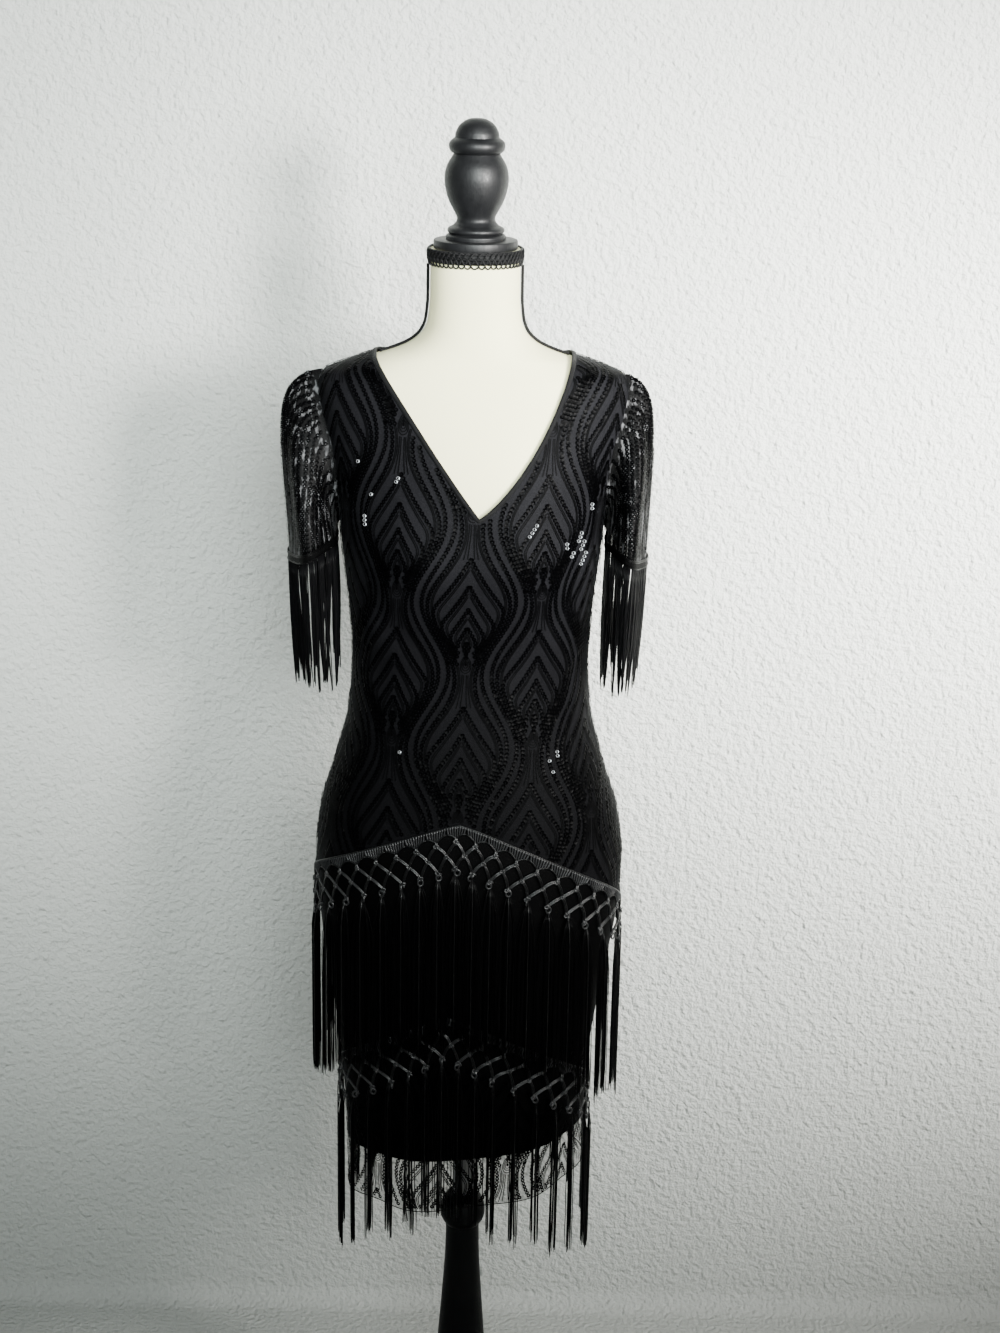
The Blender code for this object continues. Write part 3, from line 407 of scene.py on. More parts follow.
# Room
WALL_Y = 0.33
WALL_HALF = 3.2
WALL_TOP = 3.4
FLOOR_FRONT = -4.0
SWEEP_RADIUS = 0.03
KEY_PLACE = (1.75, -2.35, 1.95)
LAMP_COLUMNS = ("name", "place", "target", "size", "power", "colour", "spread")
LAMPS = (
    ("key", KEY_PLACE, (0.25, 0.2, 1.56), 0.85, 20.0, (1.0, 0.985, 0.955), 34.0),
    ("wash", (2.0, -1.1, 1.8), (0.85, WALL_Y, 1.15), 0.8, 31.0, (1.0, 0.99, 0.95), 45.0),
    ("front", (0.2, -2.6, 2.3), (-0.3, 0.3, 1.7), 1.6, 25.0, (0.92, 1.0, 0.98), 60.0),
    ("left_wash", (-2.1, -1.1, 1.7), (-0.95, WALL_Y, 1.15), 0.8, 4.4, (0.92, 1.0, 0.96), 45.0),
)
SKY_COLOUR = (0.90, 0.95, 0.95, 1.0)
SKY_STRENGTH = 0.17


# The body's surface, for whole arrays of angles and levels

def section_columns():
    table = np.array(SECTIONS)
    return {name: table[:, index] for index, name in enumerate(SECTION_COLUMNS)}


def smooth_curve(levels, values, at):
    """A smooth curve through values that does not overshoot them, read at the levels in at."""
    chords = np.diff(values) / np.diff(levels)
    product = chords[:-1] * chords[1:]
    total = chords[:-1] + chords[1:]
    same_way = product > 0.0
    middle = np.where(same_way, 2.0 * product / np.where(same_way, total, 1.0), 0.0)
    slopes = np.concatenate(([chords[0]], middle, [chords[-1]]))
    index = np.clip(np.searchsorted(levels, at, side="right") - 1, 0, len(levels) - 2)
    span = levels[index + 1] - levels[index]
    t = (at - levels[index]) / span
    return (
        values[index] * (2 * t ** 3 - 3 * t ** 2 + 1)
        + slopes[index] * span * (t ** 3 - 2 * t ** 2 + t)
        + values[index + 1] * (3 * t ** 2 - 2 * t ** 3)
        + slopes[index + 1] * span * (t ** 3 - t ** 2)
    )


COLUMNS = section_columns()
RING_LEVELS = np.concatenate(([0.0], np.cumsum(np.hypot(np.diff(COLUMNS["z"]), np.diff(COLUMNS["half"])))))
LEVEL_STEPS = np.linspace(0.0, RING_LEVELS[-1], 1600)
SECTION_STEPS = {name: smooth_curve(RING_LEVELS, COLUMNS[name], LEVEL_STEPS) for name in SECTION_COLUMNS}


def section(name, level):
    return np.interp(level, LEVEL_STEPS, SECTION_STEPS[name])


def level_at(z):
    return np.interp(z, SECTION_STEPS["z"], LEVEL_STEPS)


def unit(vectors):
    return vectors / np.maximum(np.linalg.norm(vectors, axis=-1, keepdims=True), 1e-12)


def lengths_along(points):
    """The length of a path up to each of its points."""
    return np.concatenate(([0.0], np.cumsum(np.linalg.norm(np.diff(points, axis=0), axis=-1))))


def from_pole(points):
    return np.hypot(points[..., 0], points[..., 1])


def smooth_point(angle, level):
    """The outline surface without folds. angle runs from +X to the front, -Y."""
    half = section("half", level)
    z = section("z", level)
    front = np.sin(angle) > 0.0
    depth = np.where(front, section("front", level), section("back", level))
    power = 2.0 / SECTION_POWER
    x = half * np.sign(np.cos(angle)) * np.abs(np.cos(angle)) ** power
    y = -depth * np.sign(np.sin(angle)) * np.abs(np.sin(angle)) ** power
    hip = RIGHT_HIP_RISE * (x / half) ** 2 * np.exp(-((z - RIGHT_HIP_Z) / RIGHT_HIP_SPREAD) ** 2)
    x = x + np.where(x > 0.0, hip, 0.0)
    high = np.exp(-((z - BUST_Z) / BUST_SPREAD_Z) ** 2) * np.sin(angle)
    for sign in (-1, 1):
        mound = BUST_RISE * high * np.exp(-((x - sign * BUST_X) / BUST_SPREAD_X) ** 2)
        y = y - np.where(front, mound, 0.0)
    return np.stack(np.broadcast_arrays(x, y, z), axis=-1)


def normal_at(angle, level):
    turn, rise = 0.02, 0.003
    across = smooth_point(angle + turn, level) - smooth_point(angle - turn, level)
    up = smooth_point(angle, level + rise) - smooth_point(angle, level - rise)
    return unit(np.cross(up, across))


def hem_wave(angle, z):
    fade = np.maximum(0.0, 1.0 - (z - HEM_Z) / HEM_WAVE_REACH)
    swing = np.sin(HEM_WAVES * angle + 0.8) + 0.4 * np.sin(3 * angle + 2.0)
    return HEM_WAVE_DEPTH * fade ** 1.5 * swing


def fold_depth(angle, z, radius):
    depth = np.zeros(np.broadcast(angle, z).shape)
    for row in FOLDS:
        fold = dict(zip(FOLD_COLUMNS, row))
        turn = angle - math.radians(fold["angle"])
        turn = np.arctan2(np.sin(turn), np.cos(turn))
        across, up = turn * radius, z - fold["z"]
        tilt = math.radians(fold["tilt"])
        along = across * math.cos(tilt) + up * math.sin(tilt)
        aside = up * math.cos(tilt) - across * math.sin(tilt)
        depth += fold["depth"] * np.exp(-(along / fold["length"]) ** 2 - (aside / fold["width"]) ** 2)
    return depth


def body_point(angle, level, out=0.0, folds=True):
    """A point of the dress's outer face, moved out along the normal."""
    point = smooth_point(angle, level)
    move = np.broadcast_to(out, point.shape[:-1]).astype(float)
    if folds:
        radius = from_pole(point)
        move = move + hem_wave(angle, point[..., 2]) - fold_depth(angle, point[..., 2], radius)
    return point + normal_at(angle, level) * move[..., None]


# Shares of the way round: 0 at +X, 0.5 at the middle, 1 at -X

SHARE_STEPS = np.linspace(0.0, 1.0, 181)
SIDES = {}
SIDE_LEVELS = np.linspace(0.0, RING_LEVELS[-1], 300)
for side_name, side_sign in (("front", 1.0), ("back", -1.0)):
    turn_steps = side_sign * np.linspace(0.0, math.pi, 181)
    shape = smooth_point(turn_steps[None, :], SIDE_LEVELS[:, None])
    steps = np.linalg.norm(np.diff(shape, axis=1), axis=-1)
    reach = np.concatenate((np.zeros((len(SIDE_LEVELS), 1)), np.cumsum(steps, axis=1)), axis=1)
    total = reach[:, -1]
    turns = np.array([np.interp(SHARE_STEPS, row / row[-1], turn_steps) for row in reach])
    SIDES[side_name] = {"turns": turns, "length": total}


def angle_at(side, share, level):
    """The angle at a share of the way round, read between the nearest levels and shares."""
    table = SIDES[side]["turns"]
    share, level = np.broadcast_arrays(share, level)
    row = np.clip(np.interp(level, SIDE_LEVELS, np.arange(len(SIDE_LEVELS))), 0, len(SIDE_LEVELS) - 1.001)
    place = np.clip(share, 0.0, 1.0) * (len(SHARE_STEPS) - 1)
    place = np.minimum(place, len(SHARE_STEPS) - 1.001)
    low_row, low_place = row.astype(int), place.astype(int)
    part_row, part_place = row - low_row, place - low_place
    near = table[low_row, low_place] * (1 - part_place) + table[low_row, low_place + 1] * part_place
    far = table[low_row + 1, low_place] * (1 - part_place) + table[low_row + 1, low_place + 1] * part_place
    return near * (1 - part_row) + far * part_row


def side_length(side, level):
    return np.interp(level, SIDE_LEVELS, SIDES[side]["length"])


def share_at_x(side, x, level):
    """The share of the way round at which the surface reaches x."""
    x, level = np.broadcast_arrays(np.asarray(x, float), np.asarray(level, float))
    low, high = np.zeros(x.shape), np.ones(x.shape)
    for _ in range(26):
        middle = (low + high) / 2
        beyond = smooth_point(angle_at(side, middle, level), level)[..., 0] > x
        low = np.where(beyond, middle, low)
        high = np.where(beyond, high, middle)
    return (low + high) / 2


def cloth_point(side, share, level, out=0.0):
    """A point of a panel, on its own side of the side seams' plane."""
    point = body_point(angle_at(side, share, level), level, out)
    if side == "front":
        point[..., 1] = np.minimum(point[..., 1], 0.0)
    else:
        point[..., 1] = np.maximum(point[..., 1], 0.0)
    return point


# Panel edges

def neck_x(hand, t):
    sign = HAND_SIGN[hand]
    bowed = np.maximum(t, 0.0) ** V_BOW_SHIFT
    swell = 4 * bowed * (1 - bowed) * V_BOW[hand]
    return V_BOTTOM_X + (sign * NECK_CORNER_X - V_BOTTOM_X) * t + sign * swell


def neckline(side, hand, t):
    """Share and level of the neck edge: t runs from the middle up to the shoulder corner."""
    t = np.asarray(t, float)
    if side == "front":
        x = neck_x(hand, t)
        z = V_BOTTOM_Z + (NECK_CORNER_Z - V_BOTTOM_Z) * t
    else:
        sign = HAND_SIGN[hand]
        x = sign * NECK_CORNER_X * np.sin(t * math.pi / 2)
        z = NECK_CORNER_Z - (NECK_CORNER_Z - BACK_NECK_Z) * np.maximum(np.cos(t * math.pi / 2), 0.0) ** 1.5
    level = level_at(z)
    end = HAND_SHARE[hand]
    return np.where(t >= 1.0, end, share_at_x(side, x, level)), level


def armhole_inset(t):
    return ARMHOLE_INSET * np.sin(math.pi * np.clip(t, 0.0, 1.0) ** 0.85)


def armhole(side, hand, t):
    """Share and level of the armhole edge: t runs from the underarm up to the shoulder tip.

    It is the same front and back. side is there so that crowded can call it like neckline.
    """
    t = np.asarray(t, float)
    level = level_at(UNDERARM_Z) * (1 - t) + level_at(SHOULDER_TIP_Z) * t
    inset = armhole_inset(t)
    return (inset if hand == "right" else 1.0 - inset), level


def crowded(edge, side, hand, steps):
    """Places along an edge whose even steps shorten towards its upper end."""
    samples = np.linspace(0.0, 1.0, 241)
    share, level = edge(side, hand, samples)
    points = smooth_point(angle_at(side, share, level), level)
    lengths = lengths_along(points)
    way = lengths[-1] * (1.0 - (1.0 - np.asarray(steps)) ** UPPER_ROW_CROWDING)
    return edge(side, hand, np.interp(way, lengths, samples))


def blend(t):
    """Eases from 0 to 1."""
    t = np.clip(t, 0.0, 1.0)
    return t * t * (3 - 2 * t)


def panel_rows(side, hand, lower_count, upper_count):
    """Inner and outer share and level of each row from the hem up, and how far up each is."""
    end = HAND_SHARE[hand]
    hem, underarm = level_at(HEM_Z), level_at(UNDERARM_Z)
    side_hem = level_at(HEM_Z + HEM_SIDE_RISE[hand])
    inner_share, middle_level = neckline(side, hand, 0.0)
    if side == "back":
        inner_share, middle_level = 0.5, underarm
    t = np.arange(lower_count) / lower_count
    inner = [0.5 + (inner_share - 0.5) * blend(t), hem + (middle_level - hem) * t]
    outer = [np.full_like(t, end), side_hem + (underarm - side_hem) * t]
    steps = np.linspace(0.0, 1.0, upper_count + 1)
    outer_upper = crowded(armhole, side, hand, steps)
    if side == "front":
        inner_upper = crowded(neckline, side, hand, steps)
    else:
        split = 0.5
        rise = underarm + (neckline(side, hand, 0.0)[1] - underarm) * np.minimum(steps / split, 1.0)
        share, level = crowded(neckline, side, hand, np.clip((steps - split) / (1 - split), 0.0, 1.0))
        inner_upper = (np.where(steps <= split, 0.5, share), np.where(steps <= split, rise, level))
    return (
        np.concatenate((inner[0], inner_upper[0])),
        np.concatenate((inner[1], inner_upper[1])),
        np.concatenate((outer[0], outer_upper[0])),
        np.concatenate((outer[1], outer_upper[1])),
        np.concatenate((t, 1.0 + steps)),
    )


def on_panel(side, share, level, point, margin):
    """True for points of a panel that lie a margin inside its neck, armholes and seams."""
    x, z = point[..., 0], point[..., 2]
    length = side_length(side, level)
    edge = margin / length
    t = (level - level_at(UNDERARM_Z)) / (level_at(SHOULDER_TIP_Z) - level_at(UNDERARM_Z))
    inset = armhole_inset(t)
    inside = (share > inset + edge) & (share < 1.0 - inset - edge)
    inside &= level < level_at(NECK_CORNER_Z) - margin
    if side == "front":
        t = (z - V_BOTTOM_Z) / (NECK_CORNER_Z - V_BOTTOM_Z)
        clear = (x > neck_x("right", t) + 1.5 * margin) | (x < neck_x("left", t) - 1.5 * margin)
        inside &= clear | (t < -1.5 * margin / (NECK_CORNER_Z - V_BOTTOM_Z))
    else:
        across = np.clip(np.abs(x) / NECK_CORNER_X, 0.0, 1.0)
        neck_z = NECK_CORNER_Z - (NECK_CORNER_Z - BACK_NECK_Z) * (1 - across ** 2) ** 0.75
        inside &= (z < neck_z - 1.5 * margin) | (np.abs(x) > NECK_CORNER_X)
    hem = HEM_Z + np.where(
        share < 0.5,
        HEM_SIDE_RISE["right"] * (1 - 2 * share),
        HEM_SIDE_RISE["left"] * (2 * share - 1),
    )
    return inside & (z > hem + 0.7 * margin)


# Sleeves

def sleeve_hem_point(hand, turn, out=0.0, drop=0.0):
    """A point of the sleeve's hem. turn is 0 at the outer side and grows towards the front."""
    sign = HAND_SIGN[hand]
    wave = SLEEVE_WAVE_DEPTH * np.sin(SLEEVE_WAVES * turn + 0.6)
    half_width = SLEEVE_HEM_HALF_WIDTH + out + wave
    half_depth = SLEEVE_HEM_HALF_DEPTH + out + wave
    x = SLEEVE_HEM_X + SLEEVE_FLARE[hand] * (1 + np.cos(turn)) / 2 + half_width * np.cos(turn)
    y = -half_depth * np.sin(turn)
    z = SLEEVE_HEM_Z - SLEEVE_HEM_TILT * np.cos(turn) - drop
    return np.stack(np.broadcast_arrays(sign * x, y, z), axis=-1)


def armhole_at(hand, turn):
    """Points and normals of the armhole, from the shoulder tip down the front and up the back."""
    turn = np.mod(turn, 2 * math.pi)
    front = turn <= math.pi
    points = np.zeros(turn.shape + (3,))
    normals = np.zeros(turn.shape + (3,))
    for side, chosen in (("front", front), ("back", ~front)):
        steps = np.abs(1.0 - turn[chosen] / math.pi)
        share, level = crowded(armhole, side, hand, steps)
        angle = angle_at(side, share, level)
        points[chosen] = body_point(angle, level)
        normals[chosen] = normal_at(angle, level)
    return points, normals


def sleeve_creases(turn, t):
    """Soft drape: long shallow ridges down the sleeve and a few slanting drags at the cap."""
    fade = np.sin(math.pi * np.clip(t, 0, 1)) ** 0.8
    down = 0.0016 * np.sin(4 * turn + 1.1) + 0.0010 * np.sin(7 * turn - 0.6 + 1.2 * t)
    slant = 0.0012 * np.sin(3 * turn + 7 * t) * np.exp(-((t - 0.35) / 0.25) ** 2)
    return fade * (down + slant)


def sleeve_point(hand, turn, t, out=0.0):
    """A point down one column of the sleeve, from the armhole to the hem."""
    turn, t = np.broadcast_arrays(np.asarray(turn, float), np.asarray(t, float))
    sign = HAND_SIGN[hand]
    start, normal = armhole_at(hand, turn)
    top = np.maximum(0.0, np.cos(turn))
    low = np.maximum(0.0, -np.cos(turn))
    beneath = 1 - (1 - SLEEVE_UNDERARM_SHARE) * low
    reach = SLEEVE_CAP[hand] * (SLEEVE_SIDE_SHARE + (1 - SLEEVE_SIDE_SHARE) * top) * beneath
    drop = SLEEVE_DROP * (SLEEVE_DROP_SIDE_SHARE + (1 - SLEEVE_DROP_SIDE_SHARE) * top) * beneath
    begin = start + normal * (2 * GAP + NET_WALL * (1 - low))[..., None]
    first = begin + normal * (SLEEVE_SIDE_SWELL * (1 - top) * (1 - low))[..., None]
    first[..., 0] += sign * reach
    first[..., 2] -= SLEEVE_CAP_FALL * top
    end = sleeve_hem_point(hand, turn)
    second = end.copy()
    second[..., 2] += drop
    s = (1.0 - t)[..., None]
    u = t[..., None]
    point = begin * s ** 3 + first * 3 * s * s * u + second * 3 * s * u * u + end * u ** 3
    axis = point.copy()
    axis[..., 0] = sign * SLEEVE_HEM_X
    axis[..., 1] *= 0.3
    outward = unit(point - axis)
    return point + outward * (out + sleeve_creases(turn, t) * (1 - low))[..., None]


# Meshes

def new_piece(name, points, face_groups, material, smooth=True, uv=None, extra_materials=(), picks=None):
    """An object from a point array and arrays of faces with the same corner count each."""
    corners = [np.asarray(group, dtype=np.int64) for group in face_groups if len(group)]
    sizes = np.concatenate([np.full(len(group), group.shape[1]) for group in corners])
    loops = np.concatenate([group.ravel() for group in corners])
    mesh = bpy.data.meshes.new(name)
    mesh.vertices.add(len(points))
    mesh.vertices.foreach_set("co", np.asarray(points, dtype=np.float32).ravel())
    mesh.loops.add(len(loops))
    mesh.loops.foreach_set("vertex_index", loops.astype(np.int32))
    mesh.polygons.add(len(sizes))
    starts = np.concatenate(([0], np.cumsum(sizes)[:-1]))
    mesh.polygons.foreach_set("loop_start", starts.astype(np.int32))
    mesh.materials.append(material)
    for other in extra_materials:
        mesh.materials.append(other)
    mesh.update(calc_edges=True)
    if picks is not None:
        mesh.polygons.foreach_set("material_index", np.asarray(picks, dtype=np.int32))
    if uv is not None:
        layer = mesh.uv_layers.new(name="cloth")
        layer.data.foreach_set("uv", np.asarray(uv, dtype=np.float32)[loops].ravel())
    mesh.validate()
    if smooth:
        mesh.shade_smooth()
    item = bpy.data.objects.new(name, mesh)
    bpy.context.scene.collection.objects.link(item)
    return item


def grid_faces(rows, columns, wrap=False, flip=False):
    """Quads over a grid of points, row by row."""
    spans = columns if wrap else columns - 1
    row, column = np.meshgrid(np.arange(rows - 1), np.arange(spans), indexing="ij")
    after = (column + 1) % columns
    a = row * columns + column
    b = row * columns + after
    c = (row + 1) * columns + after
    d = (row + 1) * columns + column
    order = (a, d, c, b) if flip else (a, b, c, d)
    return np.stack(order, axis=-1).reshape(-1, 4)


def tubes(paths, radius, sides, taper=None):
    """Points and faces of capped tubes along many paths of the same point count."""
    paths = np.asarray(paths, float)
    count, steps, _ = paths.shape
    along = unit(np.gradient(paths, axis=1))
    outward = paths.copy()
    outward[..., 2] = 0.0
    outward = unit(outward)
    beside = unit(np.cross(along, outward))
    above = np.cross(along, beside)
    turns = np.linspace(0.0, 2 * math.pi, sides, endpoint=False)
    width = np.broadcast_to(np.asarray(radius, float), (count,))[:, None]
    width = width * (np.ones(steps) if taper is None else np.asarray(taper))[None, :]
    ring = (
        beside[:, :, None, :] * np.cos(turns)[None, None, :, None]
        + above[:, :, None, :] * np.sin(turns)[None, None, :, None]
    )
    points = (paths[:, :, None, :] + ring * width[:, :, None, None]).reshape(-1, 3)
    one = grid_faces(steps, sides, wrap=True)
    offsets = np.arange(count)[:, None, None] * steps * sides
    quads = (one[None] + offsets).reshape(-1, 4)
    start = np.arange(sides)[::-1]
    end = np.arange(sides) + (steps - 1) * sides
    caps = (np.stack((start, end))[None] + offsets).reshape(-1, sides)
    return points, [quads, caps]


def join(parts):
    """Several (points, face groups) as one."""
    points, groups, offset = [], [], 0
    for part_points, part_groups in parts:
        points.append(part_points)
        groups.extend(np.asarray(group) + offset for group in part_groups)
        offset += len(part_points)
    return np.concatenate(points), groups


# Materials

class Recipe:
    """A node material under construction."""

    def __init__(self, name, colour, roughness, metallic=0.0, specular=0.5):
        self.material = bpy.data.materials.new(name)
        self.material.use_nodes = True
        self.tree = self.material.node_tree
        self.shader = self.tree.nodes["Principled BSDF"]
        self.colour = colour
        self.shader.inputs["Base Color"].default_value = (*colour, 1.0)
        self.shader.inputs["Roughness"].default_value = roughness
        self.shader.inputs["Metallic"].default_value = metallic
        self.shader.inputs["Specular IOR Level"].default_value = specular
        self.bump = None

    def node(self, kind, values=(), **settings):
        made = self.tree.nodes.new(kind)
        for key, value in settings.items():
            setattr(made, key, value)
        for key, value in dict(values).items():
            made.inputs[key].default_value = value
        return made

    def link(self, source, target):
        self.tree.links.new(source, target)

    def place(self, scale, uv=False):
        """Coordinates in metres, times a scale for each axis."""
        if uv:
            source = self.node("ShaderNodeUVMap", uv_map="cloth").outputs["UV"]
        else:
            source = self.node("ShaderNodeTexCoord").outputs["Object"]
        mapping = self.node("ShaderNodeMapping")
        mapping.inputs["Scale"].default_value = scale
        self.link(source, mapping.inputs["Vector"])
        return mapping.outputs["Vector"]

    def noise(self, scale, detail=3.0, uv=False, stretch=(1.0, 1.0, 1.0), distortion=0.0):
        made = self.node("ShaderNodeTexNoise", {"Scale": scale, "Detail": detail, "Distortion": distortion})
        self.link(self.place(stretch, uv), made.inputs["Vector"])
        return made.outputs["Fac"]

    def cells(self, scale, uv=False, stretch=(1.0, 1.0, 1.0), feature="F1"):
        made = self.node("ShaderNodeTexVoronoi", {"Scale": scale}, feature=feature)
        self.link(self.place(stretch, uv), made.inputs["Vector"])
        return made.outputs["Distance"]

    def bands(self, scale, uv=False, direction="X", distortion=0.0):
        made = self.node(
            "ShaderNodeTexWave",
            {"Scale": scale, "Distortion": distortion, "Detail": 1.0},
            bands_direction=direction,
        )
        self.link(self.place((1.0, 1.0, 1.0), uv), made.inputs["Vector"])
        return made.outputs["Fac"]

    def spread(self, value, low, high, start=0.0, end=1.0):
        made = self.node(
            "ShaderNodeMapRange",
            {"From Min": start, "From Max": end, "To Min": low, "To Max": high},
        )
        self.link(value, made.inputs["Value"])
        return made.outputs["Result"]

    def combine(self, first, second, operation="MULTIPLY"):
        made = self.node("ShaderNodeMath", operation=operation)
        for value, socket in ((first, made.inputs[0]), (second, made.inputs[1])):
            if isinstance(value, (int, float)):
                socket.default_value = value
            else:
                self.link(value, socket)
        return made.outputs["Value"]

    def below_header(self):
        """1 on the skirt below the upper fringe's header, 0 above it, from the cloth's own UVs. It places
        the net's painted shade under the fringe.
        """
        row = dict(zip(TIER_COLUMNS, TIERS["upper_fringe_front"]))
        apart = self.node("ShaderNodeSeparateXYZ")
        self.link(self.place((1.0, 1.0, 1.0), True), apart.inputs["Vector"])
        aside = self.combine(apart.outputs["X"], row["peak_x"], "SUBTRACT")
        right = self.combine(aside, 0.0, "GREATER_THAN")
        way = self.combine(aside, 1.0 / HEADER_HALF_LENGTH)
        absolute = self.node("ShaderNodeMath", operation="ABSOLUTE")
        self.link(way, absolute.inputs[0])
        fall = self.combine(absolute.outputs["Value"], row["bend"], "POWER")
        drop = self.spread(right, row["peak_z"] - row["left_z"], row["peak_z"] - row["right_z"])
        line = self.combine(row["peak_z"] - HEADER_HEIGHT / 2, self.combine(fall, drop), "SUBTRACT")
        return self.spread(self.combine(line, apart.outputs["Y"], "SUBTRACT"), 0.0, 1.0, -0.003, 0.003)

    def tint(self, value, dark, light):
        """The shader's colour, between two shades of the base colour."""
        made = self.node("ShaderNodeMix", data_type="RGBA")
        made.inputs["A"].default_value = (*[part * dark for part in self.colour], 1.0)
        made.inputs["B"].default_value = (*[min(part * light, 1.0) for part in self.colour], 1.0)
        made.inputs["Factor"].default_value = 0.5
        self.link(value, made.inputs["Factor"])
        result = [out for out in made.outputs if out.type == "RGBA"][0]
        self.link(result, self.shader.inputs["Base Color"])

    def rough(self, value, low, high):
        self.link(self.spread(value, low, high), self.shader.inputs["Roughness"])

    def raise_by(self, value, distance, strength=1.0):
        """Adds a height to the surface's bump."""
        made = self.node("ShaderNodeBump", {"Strength": strength, "Distance": distance})
        self.link(value, made.inputs["Height"])
        if self.bump is not None:
            self.link(self.bump, made.inputs["Normal"])
        self.bump = made.outputs["Normal"]
        self.link(self.bump, self.shader.inputs["Normal"])

    def sheen(self, weight, roughness, tint=(1.0, 1.0, 1.0)):
        self.shader.inputs["Sheen Weight"].default_value = weight
        self.shader.inputs["Sheen Roughness"].default_value = roughness
        self.shader.inputs["Sheen Tint"].default_value = (*tint, 1.0)


def net_ground():
    """Stretch net over its lining: fine mesh, charcoal, with painted shade that darkens it down the body and
    on the skirt.
    """
    made = Recipe("net_ground", (0.0064, 0.0064, 0.0075), 0.62, specular=0.035)
    mesh_cells = made.cells(820.0, uv=True)
    cloudy = made.noise(26.0, 4.0, uv=True)
    fibre = made.noise(900.0, 2.0, uv=True, stretch=(1.0, 0.25, 1.0))
    mixed = made.combine(made.combine(mesh_cells, 0.45), made.combine(cloudy, 0.45), "ADD")
    apart = made.node("ShaderNodeSeparateXYZ")
    made.link(made.place((1.0, 1.0, 1.0), True), apart.inputs["Vector"])
    # Painted shade: the net darkens from the bust down and turns near black on the skirt under the upper
    # fringe.
    depth = made.spread(apart.outputs["Y"], NET_PAINTED_SHADE_LOW, 1.0, *NET_PAINTED_SHADE_HEIGHTS)
    lit = made.combine(depth, made.spread(made.below_header(), 1.0, SKIRT_PAINTED_SHADE))
    shown = made.combine(made.combine(mixed, 0.15, "ADD"), lit)
    made.tint(shown, 0.06, 1.80)
    made.rough(fibre, 0.50, 0.74)
    made.raise_by(mesh_cells, 0.00025, 0.7)
    made.raise_by(fibre, 0.00010, 0.5)
    made.sheen(0.028, 0.26, (0.80, 0.84, 0.88))
    return made.material


def sheer_net(name, low, high, painted_highlight_streaks):
    """Unlined net: threads cover only part of the view, more at each tiny knot. On the sleeves, pale broken
    streaks down the net are a painted highlight.
    """
    made = Recipe(name, (0.0022, 0.0022, 0.0023), 0.58, specular=0.06)
    mesh_cells = made.cells(620.0, uv=True, feature="DISTANCE_TO_EDGE")
    cloudy = made.noise(40.0, 3.0, uv=True)
    knots = made.spread(mesh_cells, high, low, 0.0, 0.30)
    cover = made.combine(knots, made.spread(cloudy, 0.0, 0.16), "ADD")
    # Painted highlight: pale broken streaks down the net, as strong as the streak setting asks.
    streaks = made.noise(300.0, 2.0, stretch=(1.0, 1.0, 0.06))
    breaks = made.noise(150.0, 2.0, stretch=(1.0, 1.0, 0.4))
    lit = made.spread(made.combine(streaks, breaks, "ADD"), 0.0, painted_highlight_streaks, 1.02, 1.34)
    made.link(cover, made.shader.inputs["Alpha"])
    made.tint(made.combine(made.combine(cloudy, 0.02), lit, "ADD"), 0.5, 62.0)
    made.rough(mesh_cells, 0.50, 0.72)
    made.raise_by(mesh_cells, 0.00015, 0.5)
    made.sheen(0.03, 0.35)
    return made.material


def sequin_face():
    """Small black ring sequins: dark film with fine scuffs."""
    made = Recipe("sequin_face", (0.0003, 0.0003, 0.0004), 0.34, specular=0.022)
    scuffs = made.noise(700.0, 3.0)
    blotches = made.noise(60.0, 2.0)
    made.tint(blotches, 0.5, 1.7)
    made.rough(scuffs, 0.26, 0.46)
    made.raise_by(scuffs, 0.00006, 0.35)
    return made.material


def painted_highlight_sequin():
    """The few sequins that catch the lamp: a painted highlight, pale metallic in place of the black film."""
    made = Recipe("painted_highlight_sequin", (0.22, 0.23, 0.24), 0.30, metallic=0.9, specular=0.4)
    scuffs = made.noise(800.0, 2.0)
    made.tint(scuffs, 0.75, 1.1)
    made.rough(scuffs, 0.24, 0.40)
    made.raise_by(scuffs, 0.00005, 0.3)
    return made.material


def stitching():
    """Embroidery thread: matt black with a short twist."""
    made = Recipe("stitching", (0.0006, 0.0006, 0.0007), 0.55, specular=0.03)
    twist = made.noise(1400.0, 2.0)
    made.tint(twist, 0.5, 2.0)
    made.rough(twist, 0.42, 0.70)
    made.raise_by(twist, 0.00015, 0.6)
    made.sheen(0.006, 0.4)
    return made.material


def lining_jersey():
    made = Recipe("lining_jersey", (0.0010, 0.0010, 0.0011), 0.78, specular=0.04)
    wales = made.bands(330.0, uv=True)
    cloudy = made.noise(30.0, 3.0, uv=True)
    made.tint(cloudy, 0.6, 1.6)
    made.rough(wales, 0.68, 0.86)
    made.raise_by(wales, 0.00020, 0.5)
    made.sheen(0.006, 0.5)
    return made.material


def binding_knit():
    made = Recipe("binding_knit", (0.0050, 0.0050, 0.0053), 0.66, specular=0.10)
    ribs = made.bands(420.0, uv=True)
    cloudy = made.noise(90.0, 3.0, uv=True)
    made.tint(cloudy, 0.5, 1.8)
    made.rough(ribs, 0.55, 0.78)
    made.raise_by(ribs, 0.00025, 0.6)
    made.sheen(0.03, 0.4)
    return made.material


def satin_cord(name, shade, specular):
    """Rayon cord and gimp: satin black, fine turns of thread."""
    made = Recipe(name, (shade, shade * 1.03, shade * 1.08), 0.32, specular=specular)
    turns = made.noise(1100.0, 2.0, stretch=(1.0, 1.0, 0.5))
    cloudy = made.noise(120.0, 2.0)
    made.tint(cloudy, 0.5, 1.9)
    made.rough(turns, 0.22, 0.42)
    made.raise_by(turns, 0.00018, 0.5)
    return made.material


